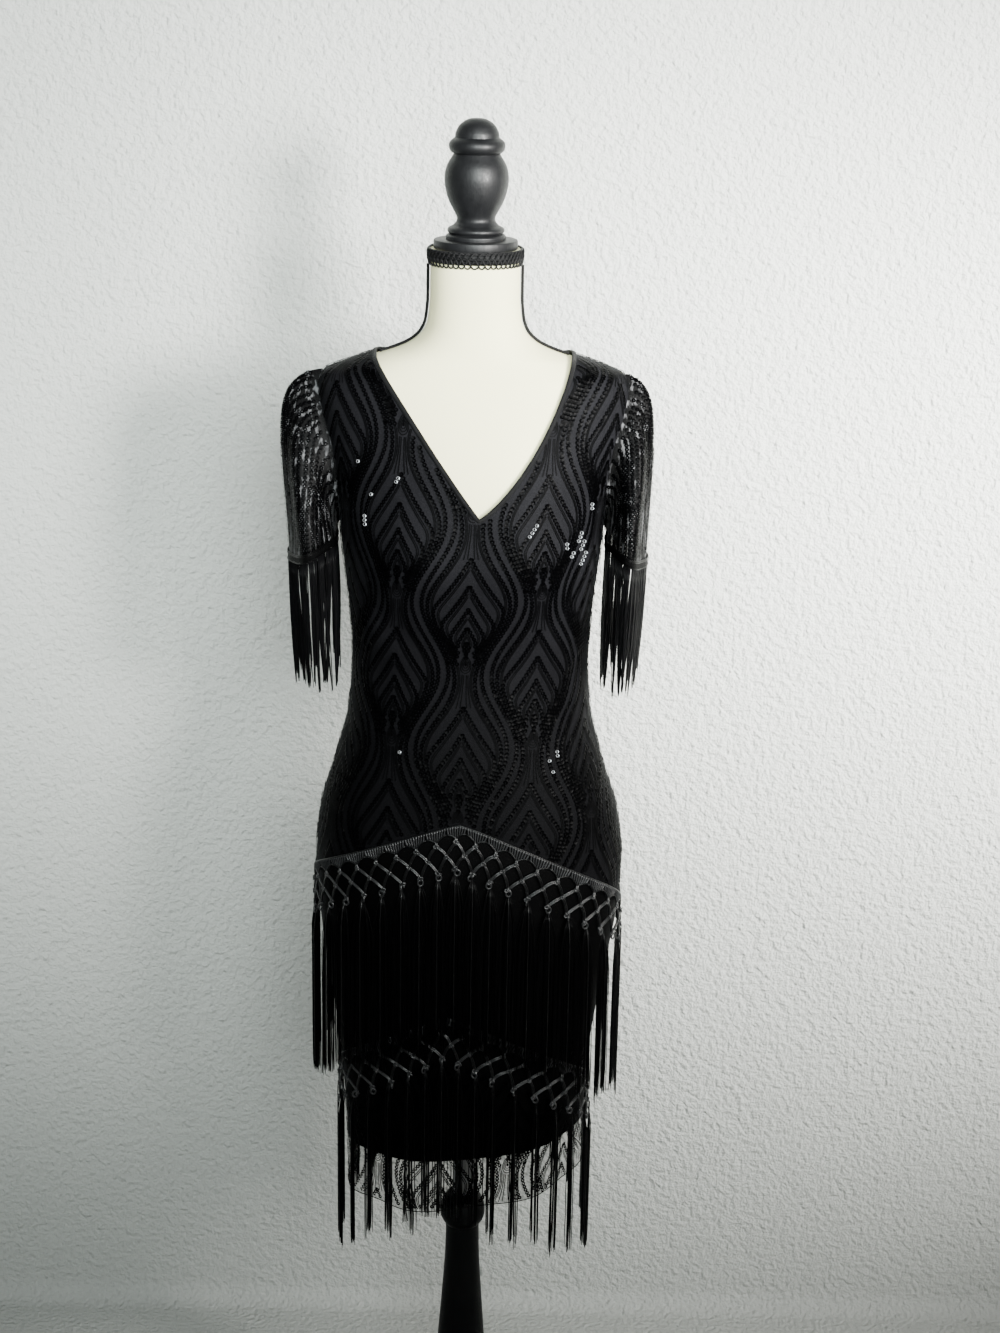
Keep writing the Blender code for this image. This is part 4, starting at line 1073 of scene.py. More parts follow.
def fringe_thread(name, shade, specular):
    """Chainette threads: satin black, streaked along their length. The pale streaks are partly the thread's
    own uneven tone and partly painted glints.
    """
    made = Recipe(name, (shade, shade, shade * 1.16), 0.38, specular=specular)
    streaks = made.noise(420.0, 2.0, stretch=(1.0, 1.0, 0.06))
    links = made.noise(900.0, 1.0, stretch=(0.4, 0.4, 1.0))
    made.tint(streaks, 0.4, 2.4)
    made.rough(streaks, 0.28, 0.52)
    made.raise_by(links, 0.00018, 0.6)
    return made.material


def form_jersey():
    """Cream jersey stretched over the padded form."""
    made = Recipe("form_jersey", (0.97, 0.935, 0.58), 0.82, specular=0.25)
    wales = made.bands(260.0, uv=True)
    rows = made.bands(340.0, uv=True, direction="Y")
    cloudy = made.noise(9.0, 4.0)
    made.tint(cloudy, 0.955, 1.035)
    knit = made.combine(wales, rows)
    made.rough(knit, 0.76, 0.90)
    made.raise_by(knit, 0.00018, 0.35)
    made.raise_by(made.noise(420.0, 2.0), 0.00010, 0.3)
    made.sheen(0.15, 0.5, (1.0, 0.98, 0.86))
    return made.material


def braid_thread():
    made = Recipe("braid_thread", (0.0028, 0.0028, 0.0031), 0.50, specular=0.18)
    twist = made.noise(1000.0, 2.0)
    made.tint(twist, 0.5, 2.2)
    made.rough(twist, 0.46, 0.74)
    made.raise_by(twist, 0.00022, 0.7)
    made.sheen(0.02, 0.4)
    return made.material


def turned_wood(name, shade, specular, coat):
    """Black stained wood: faint lengthwise grain under a satin coat, a little uneven."""
    made = Recipe(name, (shade, shade * 1.04, shade * 1.20), 0.40, specular=specular)
    grain = made.noise(210.0, 4.0, stretch=(1.0, 1.0, 0.22), distortion=0.4)
    pores = made.cells(520.0, stretch=(1.0, 1.0, 0.5))
    cloudy = made.noise(14.0, 3.0)
    made.tint(made.combine(grain, cloudy), 0.5, 2.4)
    made.rough(made.combine(grain, pores, "ADD"), 0.24, 0.52)
    made.raise_by(grain, 0.00045, 0.5)
    made.raise_by(pores, 0.00018, 0.4)
    made.shader.inputs["Coat Weight"].default_value = coat
    made.shader.inputs["Coat Roughness"].default_value = 0.28
    return made.material


def pole_steel():
    made = Recipe("pole_steel", (0.28, 0.28, 0.29), 0.34, metallic=1.0)
    drawn = made.noise(300.0, 3.0, stretch=(1.0, 1.0, 0.03))
    made.tint(drawn, 0.7, 1.2)
    made.rough(drawn, 0.26, 0.46)
    made.raise_by(drawn, 0.00008, 0.4)
    return made.material


def painted_wall():
    """Pale wall with a fine rolled texture. Seen from behind it lets the view through."""
    made = Recipe("painted_wall", (0.50, 0.512, 0.490), 0.85, specular=0.2)
    made.raise_by(made.noise(150.0, 2.0), 0.0060, 0.95)
    made.tint(made.noise(1.6, 2.0), 0.985, 1.01)
    made.rough(made.noise(40.0, 2.0), 0.78, 0.92)
    behind = made.node("ShaderNodeNewGeometry").outputs["Backfacing"]
    made.link(made.combine(1.0, behind, "SUBTRACT"), made.shader.inputs["Alpha"])
    return made.material


NET = net_ground()
SHEER_HEM = sheer_net("sheer_hem", 0.10, 0.32, 0.0)
SHEER_SLEEVE = sheer_net("sheer_sleeve", 0.76, 0.98, 1.0)
SEQUIN = sequin_face()
PAINTED_HIGHLIGHT = painted_highlight_sequin()
STITCH = stitching()
LINING = lining_jersey()
BINDING = binding_knit()
CORD = satin_cord("satin_cord", 0.0085, 0.62)
# A darker copy of the satin cord: painted shade on the netted cords turned from the lamp, the headers' top
# and scallop cords and the cords under the knots.
SHADED_CORD = satin_cord("shaded_cord", 0.0024, 0.24)
GIMP = satin_cord("rib_gimp", 0.0125, 0.30)
# A much darker copy of the rib gimp for the sleeves' headers: painted shade.
SHADED_SLEEVE_GIMP = satin_cord("shaded_sleeve_gimp", 0.0009, 0.07)
THREAD = fringe_thread("fringe_thread", 0.0006, 0.055)
# A lighter, glossier copy of the fringe thread for the sleeves' strands: painted light.
LIT_SLEEVE_THREAD = fringe_thread("lit_sleeve_thread", 0.0015, 0.095)
JERSEY = form_jersey()
BRAID = braid_thread()
WOOD = turned_wood("turned_wood", 0.0046, 0.28, 0.07)
# A darker copy of the turned wood for the post and base: painted shade.
SHADED_STAND_WOOD = turned_wood("shaded_stand_wood", 0.0016, 0.10, 0.02)
STEEL = pole_steel()
WALL = painted_wall()


def finish_piece(item, nodes=()):
    """Ties a piece to the part: it rides on the body and stands for the named solids."""
    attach(item, "root")
    if nodes:
        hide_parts(*nodes)
    return item


# Cloth shells

def panel_shell(name, side, out, first_t, last_t, materials, sheer_below=0.0):
    """A panel's cloth as one sheet from the right seam to the left, between two heights.

    Rows below sheer_below take the second material.
    """
    rows = {hand: panel_rows(side, hand, PANEL_LOWER, PANEL_UPPER) for hand in ("right", "left")}
    t = rows["right"][4]
    used = (t >= first_t - 1e-6) & (t <= last_t + 1e-6)
    c = np.linspace(0.0, 1.0, HALF_COLUMNS + 1)
    halves = {}
    for hand, (inner_share, inner_level, outer_share, outer_level, _) in rows.items():
        share = inner_share[used, None] * (1 - c) + outer_share[used, None] * c
        level = inner_level[used, None] * (1 - c) + outer_level[used, None] * c
        halves[hand] = (share, level)
    joined = t[used] < 1.0 - 1e-6 if side == "front" else t[used] < 1.5 + 1e-6
    points, groups, uvs, picks = [], [], [], []
    offset = 0
    for hand, (share, level) in halves.items():
        point = cloth_point(side, share, level, out)
        count_rows, count_columns = share.shape
        points.append(point.reshape(-1, 3))
        along = (0.5 - share) * side_length(side, level)
        uvs.append(np.stack((along, section("z", level)), axis=-1).reshape(-1, 2))
        flip = (hand == "left") == (side == "front")
        faces = grid_faces(count_rows, count_columns, flip=flip)
        groups.append(faces + offset)
        offset += count_rows * count_columns
        face_rows = np.repeat(np.arange(count_rows - 1), count_columns - 1)
        picks.append((t[used][face_rows] < sheer_below - 1e-6).astype(int))
    points = np.concatenate(points)
    uvs = np.concatenate(uvs)
    faces = np.concatenate(groups)
    columns = HALF_COLUMNS + 1
    left_start = len(points) // 2
    middle = np.flatnonzero(joined) * columns
    points[middle] = (points[middle] + points[left_start + middle]) / 2
    same = np.arange(len(points))
    same[left_start + middle] = middle
    faces = same[faces]
    return new_piece(name, points, [faces], materials[0], uv=uvs, extra_materials=materials[1:],
                     picks=np.concatenate(picks))


def hem_thread(side):
    """A thin rolled edge along the sheer hem."""
    share = np.linspace(0.0, 1.0, 131)
    side_z = np.where(share < 0.5, HEM_Z + HEM_SIDE_RISE["right"], HEM_Z + HEM_SIDE_RISE["left"])
    level = level_at(HEM_Z) + (level_at(side_z) - level_at(HEM_Z)) * np.abs(2 * share - 1)
    points, groups = tubes(cloth_point(side, share, level)[None], HEM_THREAD, 5)
    return finish_piece(new_piece("hem_thread_" + side, points, groups, STITCH))


def sleeve_shell(hand):
    turns = np.linspace(0.0, 2 * math.pi, SLEEVE_AROUND, endpoint=False)
    t = np.concatenate(([-1.0, 0.0], np.linspace(0.0, 1.0, SLEEVE_DOWN + 1)[1:]))
    point = sleeve_point(hand, turns[None, :], np.maximum(t, 0.0)[:, None])
    start, normal = armhole_at(hand, turns)
    away = unit(point[2] - start)
    point[0] = start - normal * SLEEVE_TUCK - away * SLEEVE_SEAM_STEP
    t = np.maximum(t, 0.0)
    faces = grid_faces(len(t), len(turns), wrap=True, flip=hand == "left")
    around = np.abs(turns - math.pi) / math.pi * SLEEVE_REPEATS * REPEAT_WIDTH / 2
    around, down = np.broadcast_arrays(around[None, :], t[:, None] * SLEEVE_LENGTH)
    uv = np.stack((around, -down), axis=-1).reshape(-1, 2)
    return new_piece("sleeve_net_" + hand, point.reshape(-1, 3), [faces], SHEER_SLEEVE, uv=uv)


# Sequin pattern

def ogee_half(s):
    """Half width of the cell at a share of the repeat below its upper eye."""
    return REPEAT_WIDTH / 2 + OGEE_SWING * np.cos(2 * math.pi * (s - OGEE_WIDEST))


def lane_pitch(s):
    near_press = (s - LANE_PRESS_AT + 0.5) % 1.0 - 0.5
    near_open = (s - LANE_OPEN_AT + 0.5) % 1.0 - 0.5
    press = LANE_PRESS * np.exp(-(near_press / LANE_PRESS_SPREAD) ** 2)
    return LANE_PITCH - press + LANE_OPEN * np.exp(-(near_open / LANE_OPEN_SPREAD) ** 2)


def lane_x(lane, s, inset=0.0):
    return ogee_half(s) - STRIPE_HALF - (lane - 1) * lane_pitch(s) - inset


def soft_least(a, b, bend):
    low = np.minimum(a, b)
    return low - bend * np.log(np.exp((low - a) / bend) + np.exp((low - b) / bend))


def cell_lines(inset=0.0, lanes=THROUGH_LANES):
    """Lines of one cell as (x, s) arrays on its right half, inset towards the cell's middle."""
    lines = []
    for lane in lanes:
        s = np.linspace(0.0, 1.0, 141)
        lines.append((lane_x(lane, s, inset), s))
    for lane, start in ARCH_STARTS.items():
        start = start + inset * ARCH_INSET_DROP / REPEAT_HEIGHT
        s = np.linspace(start, 1.02, 141)
        below = (s - start) * REPEAT_HEIGHT
        leg = below * ARCH_SLOPE + below ** 2 * ARCH_OPENING
        x = soft_least(leg, lane_x(lane, s, inset), ARCH_BEND)
        gone = np.flatnonzero((x < LANE_END) & (s > start + 0.12))
        end = gone[0] if len(gone) else len(s)
        if end > 3:
            lines.append((np.maximum(x[:end], 0.0), s[:end]))
    return lines


def eye_lines():
    """Rings of the eye, apex up, as (x, s) arrays."""
    turn = np.linspace(0.0, 2 * math.pi, 33)
    rings = []
    for size in EYE_RINGS:
        x = EYE_HALF_WIDTH * size * np.sin(turn) * np.sin(turn / 2) ** 0.7
        down = EYE_HEIGHT * size * 0.5 * np.cos(turn)
        rings.append((x, -down / REPEAT_HEIGHT + 0.005))
    drop = np.linspace(0.075, 0.30, 30)
    parting = 1.0 + EYE_TAIL_PARTING * (drop - drop[0]) ** 2
    for offset in EYE_TAILS:
        rings.append((offset * parting, drop))
        rings.append((-offset * parting, drop))
    return rings


def spread_over_cells(lines, mirrored, columns, low_z, high_z):
    """Every cell's copy of the lines, as (u, z) arrays over a panel."""
    placed = []
    for column in columns:
        shift = 0.5 * (column % 2)
        first = math.floor((EYE_Z - high_z) / REPEAT_HEIGHT) - 1
        last = math.ceil((EYE_Z - low_z) / REPEAT_HEIGHT) + 1
        for row in range(first, last):
            for x, s in lines:
                z = EYE_Z - (row + shift + s) * REPEAT_HEIGHT
                if z.min() > high_z or z.max() < low_z:
                    continue
                for sign in ((-1, 1) if mirrored else (1,)):
                    u = column * REPEAT_WIDTH + sign * x + EYE_X + PATTERN_LEAN * (z - EYE_Z)
                    placed.append((u, z))
    return placed


def even_places(points, step):
    """Places along a path, as fractions of its index, at even steps of length."""
    lengths = lengths_along(points)
    count = int(lengths[-1] // step)
    if count < 1:
        return np.zeros(0)
    start = (lengths[-1] - count * step) / 2
    return np.interp(start + step * np.arange(count + 1), lengths, np.arange(len(points)))


def read_at(values, places):
    return np.interp(places, np.arange(len(values)), values)


def panel_places(side, lines, mirrored, step, margin):
    """Even places along the pattern's lines on a panel: share, level and direction to the next."""
    over_shoulder = level_at(NECK_CORNER_Z) - level_at(SHOULDER_TURN_Z)
    low_z, high_z = HEM_Z - 0.02, SHOULDER_TURN_Z + over_shoulder
    sets = []
    for u, z in spread_over_cells(lines, mirrored, range(-3, 4), low_z, high_z):
        beyond = np.maximum(0.0, z - SHOULDER_TURN_Z)
        level = level_at(np.minimum(z, SHOULDER_TURN_Z)) + beyond
        share = 0.5 - u / side_length(side, level)
        if share.max() < 0.0 or share.min() > 1.0:
            continue
        places = even_places(np.stack((u, z), axis=-1), step)
        if not len(places):
            continue
        share, level = read_at(share, places), read_at(level, places)
        ahead = np.gradient(np.stack((read_at(u, places), read_at(z, places)), axis=-1), axis=0)
        sets.append((share, level, ahead))
    share = np.concatenate([item[0] for item in sets])
    level = np.concatenate([item[1] for item in sets])
    ahead = np.concatenate([item[2] for item in sets])
    line = np.repeat(np.arange(len(sets)), [len(item[0]) for item in sets])
    safe = np.clip(share, 0.0, 1.0)
    point = smooth_point(angle_at(side, safe, level), level)
    kept = on_panel(side, share, level, point, margin)
    return safe[kept], level[kept], ahead[kept], line[kept]


def under_fringe(side, share, z):
    """True where a fringe's header, netted cords or close threads cover the cloth."""
    covered = np.zeros(share.shape, bool)
    for tier in TIERS:
        if tier_side(tier) == side:
            top = header_height(tier, share)
            covered |= (z < top + COVER_MARGIN) & (z > top - COVERED_BELOW[tier_kind(tier)])
    return covered


def ring_mesh(centres, normals, along, sides, radius, hole):
    """Cupped ring sequins at centres, facing their normals."""
    along = unit(along - normals * np.sum(along * normals, axis=-1, keepdims=True))
    beside = np.cross(normals, along)
    turns = np.linspace(0.0, 2 * math.pi, sides, endpoint=False)
    spoke = along[:, None, :] * np.cos(turns)[None, :, None]
    spoke = spoke + beside[:, None, :] * np.sin(turns)[None, :, None]
    outer = centres[:, None, :] + spoke * radius[:, None, None]
    inner = centres[:, None, :] + spoke * hole[:, None, None] - normals[:, None, :] * SEQUIN_CUP
    points = np.concatenate((outer, inner), axis=1).reshape(-1, 3)
    index = np.arange(sides)
    after = (index + 1) % sides
    one = np.stack((index, after, sides + after, sides + index), axis=-1)
    faces = (one[None] + np.arange(len(centres))[:, None, None] * 2 * sides).reshape(-1, 4)
    return points, faces


def camera_and_lamp_half(points):
    """The direction halfway between the camera and the key lamp, seen from each point."""
    to_camera = unit(np.array(CAMERA_PLACE) - points)
    to_lamp = unit(np.array(KEY_PLACE) - points)
    return unit(to_camera + to_lamp)


def flash_spots():
    """Where each run of lit sequins starts, as x and z, and how many are in it."""
    spots = []
    for row in FLASH_PLACES:
        place = dict(zip(FLASH_COLUMNS, row))
        for _ in range(place["runs"]):
            x = place["x"] + place["half_width"] * FLASH_RANDOM.uniform(-1.0, 1.0)
            z = place["z"] + place["half_height"] * FLASH_RANDOM.uniform(-1.0, 1.0)
            spots.append((x, z, int(FLASH_RANDOM.integers(1, place["longest"] + 1))))
    return spots


FLASH_SPOTS = flash_spots()


def flash_runs(centres):
    """Marks a run of neighbouring sequins from the one nearest each spot, for the painted highlight."""
    painted_glint = np.zeros(len(centres), bool)
    for x, z, count in FLASH_SPOTS:
        away = np.hypot(centres[:, 0] - x, centres[:, 2] - z)
        first = int(np.argmin(away))
        if away[first] < FLASH_REACH:
            painted_glint[first:first + count] = True
    return painted_glint


def sequin_set(name, centres, normals, along, sides, flashes):
    """One joined mesh of sequins, tilted a little at random.

    Lit ones are smaller, stand out a little, are turned to shine from the key lamp to the camera and take a
    pale painted highlight colour.
    """
    count = len(centres)
    beside = np.cross(normals, along)
    tilt = RANDOM.normal(0.0, SEQUIN_TILT, (count, 2))
    facing = unit(normals + along * tilt[:, :1] + beside * tilt[:, 1:])
    painted_glint = np.zeros(count, bool)
    if flashes:
        painted_glint = flash_runs(centres)
        facing[painted_glint] = camera_and_lamp_half(centres[painted_glint])
    lifted = centres + normals * np.where(painted_glint, FLASH_LIFT, 0.0)[:, None]
    radius = np.where(painted_glint, FLASH_RADIUS, SEQUIN_RADIUS)
    hole = np.where(painted_glint, FLASH_HOLE, SEQUIN_HOLE)
    points, faces = ring_mesh(lifted, facing, along, sides, radius, hole)
    picks = np.repeat(painted_glint.astype(int), sides)
    item = new_piece(name, points, [faces], SEQUIN, smooth=False, extra_materials=(PAINTED_HIGHLIGHT,), picks=picks)
    return finish_piece(item)


def panel_sequins(side):
    """Sequins of a panel in an upper and a lower set."""
    share, level, ahead, _ = panel_places(side, cell_lines(), True, SEQUIN_STEP, SEQUIN_MARGIN)
    angle = angle_at(side, share, level)
    centres = body_point(angle, level, SEQUIN_OUT)
    normals = normal_at(angle, level)
    free = ~under_fringe(side, share, centres[:, 2])
    share, level, ahead, angle = share[free], level[free], ahead[free], angle[free]
    centres, normals = centres[free], normals[free]
    sign = 1.0 if side == "front" else -1.0
    turn = sign * 0.01
    across = unit(smooth_point(angle - turn, level) - smooth_point(angle + turn, level))
    up = np.cross(normals, across) * sign
    up = np.where((up[:, 2:] > 0.0), up, -up)
    along = unit(across * ahead[:, :1] + up * ahead[:, 1:])
    high = centres[:, 2] > SET_SPLIT_Z
    for part, chosen in (("upper", high), ("lower", ~high)):
        sequin_set(f"sequins_{side}_{part}", centres[chosen], normals[chosen], along[chosen],
                   SEQUIN_SIDES[side], side == "front")


def ribbon(points, normals, half):
    """A thin flat ribbon along a path."""
    along = unit(np.gradient(points, axis=0))
    beside = np.cross(normals, along) * half
    edge = np.stack((points - beside, points + beside), axis=1).reshape(-1, 3)
    index = np.arange(len(points) - 1) * 2
    faces = np.stack((index, index + 1, index + 3, index + 2), axis=-1)
    return edge, [faces]


def panel_stitches(side):
    """Fine stitched lines inside each chain of sequins, and round the eyes."""
    parts = []
    jobs = [(cell_lines(offset, STITCHED_LANES), True, STITCH_STEP) for offset in STITCH_OFFSETS]
    jobs.append((eye_lines(), False, EYE_STITCH_STEP))
    for lines, mirrored, step in jobs:
        share, level, _, line = panel_places(side, lines, mirrored, step, STITCH_MARGIN)
        free = ~under_fringe(side, share, section("z", level))
        share, level, line = share[free], level[free], line[free]
        angle = angle_at(side, share, level)
        points = body_point(angle, level, STITCH_OUT)
        normals = normal_at(angle, level)
        breaks = np.flatnonzero(
            (np.diff(line) != 0) | (np.linalg.norm(np.diff(points, axis=0), axis=-1) > 2.2 * step)
        ) + 1
        for start, end in zip(np.concatenate(([0], breaks)), np.concatenate((breaks, [len(points)]))):
            if end - start > 2:
                parts.append(ribbon(points[start:end], normals[start:end], STITCH_HALF))
    points, groups = join(parts)
    item = new_piece("stitches_" + side, points, [np.concatenate(groups)], STITCH)
    return finish_piece(item)


def sleeve_frame(hand, turn, t, out):
    """Points on a sleeve, their normals and the way down it."""
    small = 0.01
    point = sleeve_point(hand, turn, t, out)
    around = sleeve_point(hand, turn + small, t, out) - sleeve_point(hand, turn - small, t, out)
    down = sleeve_point(hand, turn, np.clip(t + small, 0, 1), out)
    down = down - sleeve_point(hand, turn, np.clip(t - small, 0, 1), out)
    normal = unit(np.cross(down, around))
    sign = HAND_SIGN[hand]
    return point, normal * sign, unit(down)


def sleeve_sequins(hand):
    """Sheaves of long chains that gather and part down the sleeve, next to each other in half drop."""
    turns, shares = [], []
    t = np.linspace(0.0, 1.0, 90)
    spacing = 2 * math.pi / (SLEEVE_SHEAVES * SLEEVE_LINES)
    for sheaf in range(SLEEVE_SHEAVES):
        middle = 2 * math.pi * (sheaf + 0.5) / SLEEVE_SHEAVES
        open_share = 1.0 + SLEEVE_PARTING * np.cos(2 * math.pi * (SLEEVE_REPEAT * t + 0.5 * (sheaf % 2)))
        for line in range(SLEEVE_LINES):
            turn = middle + (line - (SLEEVE_LINES - 1) / 2) * spacing * open_share
            path = sleeve_point(hand, turn, t)
            places = even_places(path, SEQUIN_STEP)
            turns.append(read_at(turn, places))
            shares.append(read_at(t, places))
    turn, t = np.concatenate(turns), np.concatenate(shares)
    kept = (t > SLEEVE_SEQUIN_ENDS[0]) & (t < SLEEVE_SEQUIN_ENDS[1])
    point, normal, down = sleeve_frame(hand, turn[kept], t[kept], SEQUIN_OUT)
    sides = SEQUIN_SIDES["sleeve"]
    return sequin_set("sequins_sleeve_" + hand, point, normal, down, sides, hand == "left")


# Neck binding

def neck_edge_binding():
    """A soft folded strip along the whole neck edge."""
    t = np.linspace(0.0, 1.0, BINDING_STEPS)
    runs = (("front", "right", t), ("back", "right", t[::-1][1:]), ("back", "left", t[1:]),
            ("front", "left", t[::-1][1:-1]))
    points, normals = [], []
    for side, hand, steps in runs:
        share, level = neckline(side, hand, steps)
        angle = angle_at(side, share, level)
        points.append(body_point(angle, level, 0.0))
        normals.append(normal_at(angle, level))
    points = np.concatenate(points)
    normals = np.concatenate(normals)
    for _ in range(2):
        normals = unit(normals + np.roll(normals, 1, axis=0) + np.roll(normals, -1, axis=0))
    along = unit(np.roll(points, -1, axis=0) - np.roll(points, 1, axis=0))
    inward = np.cross(normals, along)
    centre = np.array([0.0, 0.0, NECK_CORNER_Z])
    inward *= np.where(np.sum(inward * (points - centre), axis=-1) > 0, 1.0, -1.0)[:, None]
    section_points = dict(zip(BINDING_COLUMNS, np.array(BINDING_SECTION).T))
    rings = []
    for share, rise in zip(section_points["across"], section_points["rise"]):
        out = normals * (BINDING_FLOOR + BINDING_RISE * rise)
        rings.append(points + inward * BINDING_WIDTH * share + out)
    count = len(points)
    stack = np.stack(rings, axis=0).reshape(-1, 3)
    faces = []
    for row in range(len(rings)):
        after = (row + 1) % len(rings)
        index = np.arange(count)
        nxt = (index + 1) % count
        faces.append(np.stack((row * count + index, after * count + index, after * count + nxt,
                               row * count + nxt), axis=-1))
    lengths = lengths_along(points)
    across = np.repeat(section_points["across"] * BINDING_WIDTH, count)
    uv = np.stack((np.tile(lengths, len(rings)), across), axis=-1)
    item = new_piece("neck_edge_binding", stack, [np.concatenate(faces)], BINDING, uv=uv)
    return finish_piece(item, ("neck_binding",))


# Knotted fringe tiers

def tier_kind(tier):
    return tier.split("_", 1)[0]


def tier_side(tier):
    return tier.rsplit("_", 1)[1]


def tier_row(tier):
    return dict(zip(TIER_COLUMNS, TIERS[tier]))


def tier_length(tier):
    """The header's length from seam to seam."""
    return float(side_length(tier_side(tier), level_at(tier_row(tier)["right_z"])))


def fan_count(tier):
    return round(tier_length(tier) / FRINGE_PITCH)


def peak_place(tier):
    """The share of the way round at which the header peaks."""
    row = tier_row(tier)
    return float(share_at_x(tier_side(tier), row["peak_x"], level_at(row["peak_z"])))


def header_height(tier, share):
    """Height of the header's top edge: an upturned V with a soft bend."""
    row = tier_row(tier)
    peak_share = peak_place(tier)
    right = share < peak_share
    way = np.where(right, (peak_share - share) / peak_share, (share - peak_share) / (1.0 - peak_share))
    low = np.where(right, row["right_z"], row["left_z"])
    return row["peak_z"] - (row["peak_z"] - low) * np.clip(way, 0.0, 1.0) ** row["bend"]


def hung_point(side, share, z, top_z, out):
    """A hanging point: it never swings in under what it fell past."""
    share, z, top_z, out = np.broadcast_arrays(share, z, top_z, out)
    widest = cloth_point(side, share, level_at(top_z), out)
    for step in (0.25, 0.5, 0.75, 1.0):
        here = np.maximum(top_z + (z - top_z) * step, HEM_Z)
        point = cloth_point(side, share, level_at(here), out)
        wider = from_pole(point) > from_pole(widest)
        widest = np.where(wider[..., None], point, widest)
    widest[..., 2] = z
    return widest


def header_lean(tier, share):
    """How far the netted cords lean: part of the header's slope, read over a long reach."""
    ahead = np.minimum(share + LEAN_REACH, 1.0)
    behind = np.maximum(share - LEAN_REACH, 0.0)
    rise = header_height(tier, ahead) - header_height(tier, behind)
    return np.arctan2(rise, tier_length(tier) * (ahead - behind)) * LATTICE_LEAN


def tier_point(tier, share, down, out):
    """A point below the header's top edge. down is nearly square to it."""
    share, down, out = np.broadcast_arrays(*(np.asarray(v, float) for v in (share, down, out)))
    lean = header_lean(tier, share)
    z = header_height(tier, share) - down * np.cos(lean)
    moved = np.clip(share + down * np.sin(lean) / tier_length(tier), 0.0, 1.0)
    return hung_point(tier_side(tier), moved, z, header_height(tier, moved), out)


def fan_depth(a):
    """How deep the header is at a place across a fan, from -0.5 to 0.5."""
    fuller = HEADER_HEIGHT * (1 - FAN_EDGE_SHARE) + FAN_DROP
    return HEADER_HEIGHT * FAN_EDGE_SHARE + fuller * (1 - np.abs(2 * a)) ** 1.25


def fan_width(a, d):
    """How a fan narrows at a share d of its depth."""
    return 1 - FAN_NARROWING * d ** 2 * (1 - np.abs(2 * a)) ** 0.4


def ribbed_header(tier):
    """Fans of ribs side by side, with a cord along the top and along each scallop."""
    count = fan_count(tier)
    columns = RIBS_IN_FAN * RIB_SAMPLES
    a = np.linspace(-0.5, 0.5, columns + 1)
    d = np.linspace(0.0, 1.0, FAN_ROWS)[:, None]
    rib = np.abs(np.sin(math.pi * RIBS_IN_FAN * (a + 0.5)))
    rib = np.maximum(0.0, (rib - RIB_VALLEY) / (1.0 - RIB_VALLEY)) ** 0.6
    edge_fade = np.minimum(1.0, np.minimum(d, 1 - d) * 8 + 0.3)
    out = HEADER_OUT + 0.0006 + RIB_RISE * rib * edge_fade
    edge_a = np.linspace(-0.5, 0.5, 15)
    fans, edges = [], []
    for index in range(count):
        share = (index + 0.5 + a * fan_width(a, d)) / count
        front = tier_point(tier, share, d * fan_depth(a), out)
        faces = grid_faces(FAN_ROWS, columns + 1, flip=tier_side(tier) == "front")
        fans.append((front.reshape(-1, 3), [faces]))
        share = (index + 0.5 + edge_a * fan_width(edge_a, 1.0)) / count
        edges.append(tier_point(tier, share, fan_depth(edge_a), HEADER_OUT + 0.0012))
    points, groups = join(fans)
    quads = np.concatenate(groups)
    along = np.linspace(0.0, 1.0, count * 12 + 1)
    top = [tier_point(tier, along, drop, HEADER_OUT + 0.0010) for drop in (0.0004, 0.0020)]
    top_cords = tubes(np.stack(top), 0.0008, 6)
    edge_cords = tubes(np.stack(edges), EDGE_CORD, 6)
    points, groups = join([(points, [quads]), top_cords, edge_cords])
    # Painted shade: the faces in the valleys between ribs take the black thread colour, and the cords along
    # the top and the scallops take the satin cord's darker copy.
    across = np.arange(columns) % RIB_SAMPLES
    valley = (across == 0) | (across == RIB_SAMPLES - 1)
    picks = np.full(sum(len(group) for group in groups), 2)
    picks[:len(quads)] = np.tile(valley, len(quads) // columns)
    others = (THREAD, SHADED_CORD)
    return new_piece("header_" + tier, points, groups, GIMP, extra_materials=others, picks=picks)


def cord_pair(tier, start, end, bow):
    """Two cords side by side between two places (share, down), bowed a little."""
    length = tier_length(tier)
    t = np.linspace(0.0, 1.0, CORD_STEPS)
    paths = []
    run = np.array([(end[0] - start[0]) * length, end[1] - start[1]])
    square = np.array([-run[1], run[0]]) / np.linalg.norm(run)
    swell = np.sin(math.pi * t)
    for side in (-1, 1):
        offset = (side * CORD_APART * (0.80 + 0.25 * swell) + bow * swell)[:, None] * square
        share = start[0] + (end[0] - start[0]) * t + offset[:, 0] / length
        down = start[1] + (end[1] - start[1]) * t + offset[:, 1]
        out = HEADER_OUT + 0.0012 + 0.0009 * swell + 0.0002 * side
        paths.append(tier_point(tier, share, down, out))
    return paths


def knot_path(centre, normal, size, spin):
    """A small overhand knot as a closed path."""
    t = np.linspace(0.0, 2 * math.pi, KNOT_STEPS)
    x = np.sin(t) + 2 * np.sin(2 * t)
    y = np.cos(t) - 2 * np.cos(2 * t)
    z = -np.sin(3 * t) * 0.9
    across = unit(np.cross([0.0, 0.0, 1.0], normal))
    up = np.cross(normal, across)
    c, s = math.cos(spin), math.sin(spin)
    plane = (x * c - y * s)[:, None] * across + (x * s + y * c)[:, None] * up * 0.82
    return centre + size * (plane + z[:, None] * normal)


def loop_path(centre, outward, lean):
    """A round loop of cord hanging out of a knot, turned a little from the cloth."""
    turn = np.linspace(0.0, 2 * math.pi, LOOP_STEPS)
    across = unit(np.cross([0.0, 0.0, 1.0], outward))
    across = unit(across + outward * lean)
    ring = across * np.sin(turn)[:, None] * 0.85 + np.array([0.0, 0.0, 1.0]) * np.cos(turn)[:, None]
    return centre + ring * LOOP_RADIUS


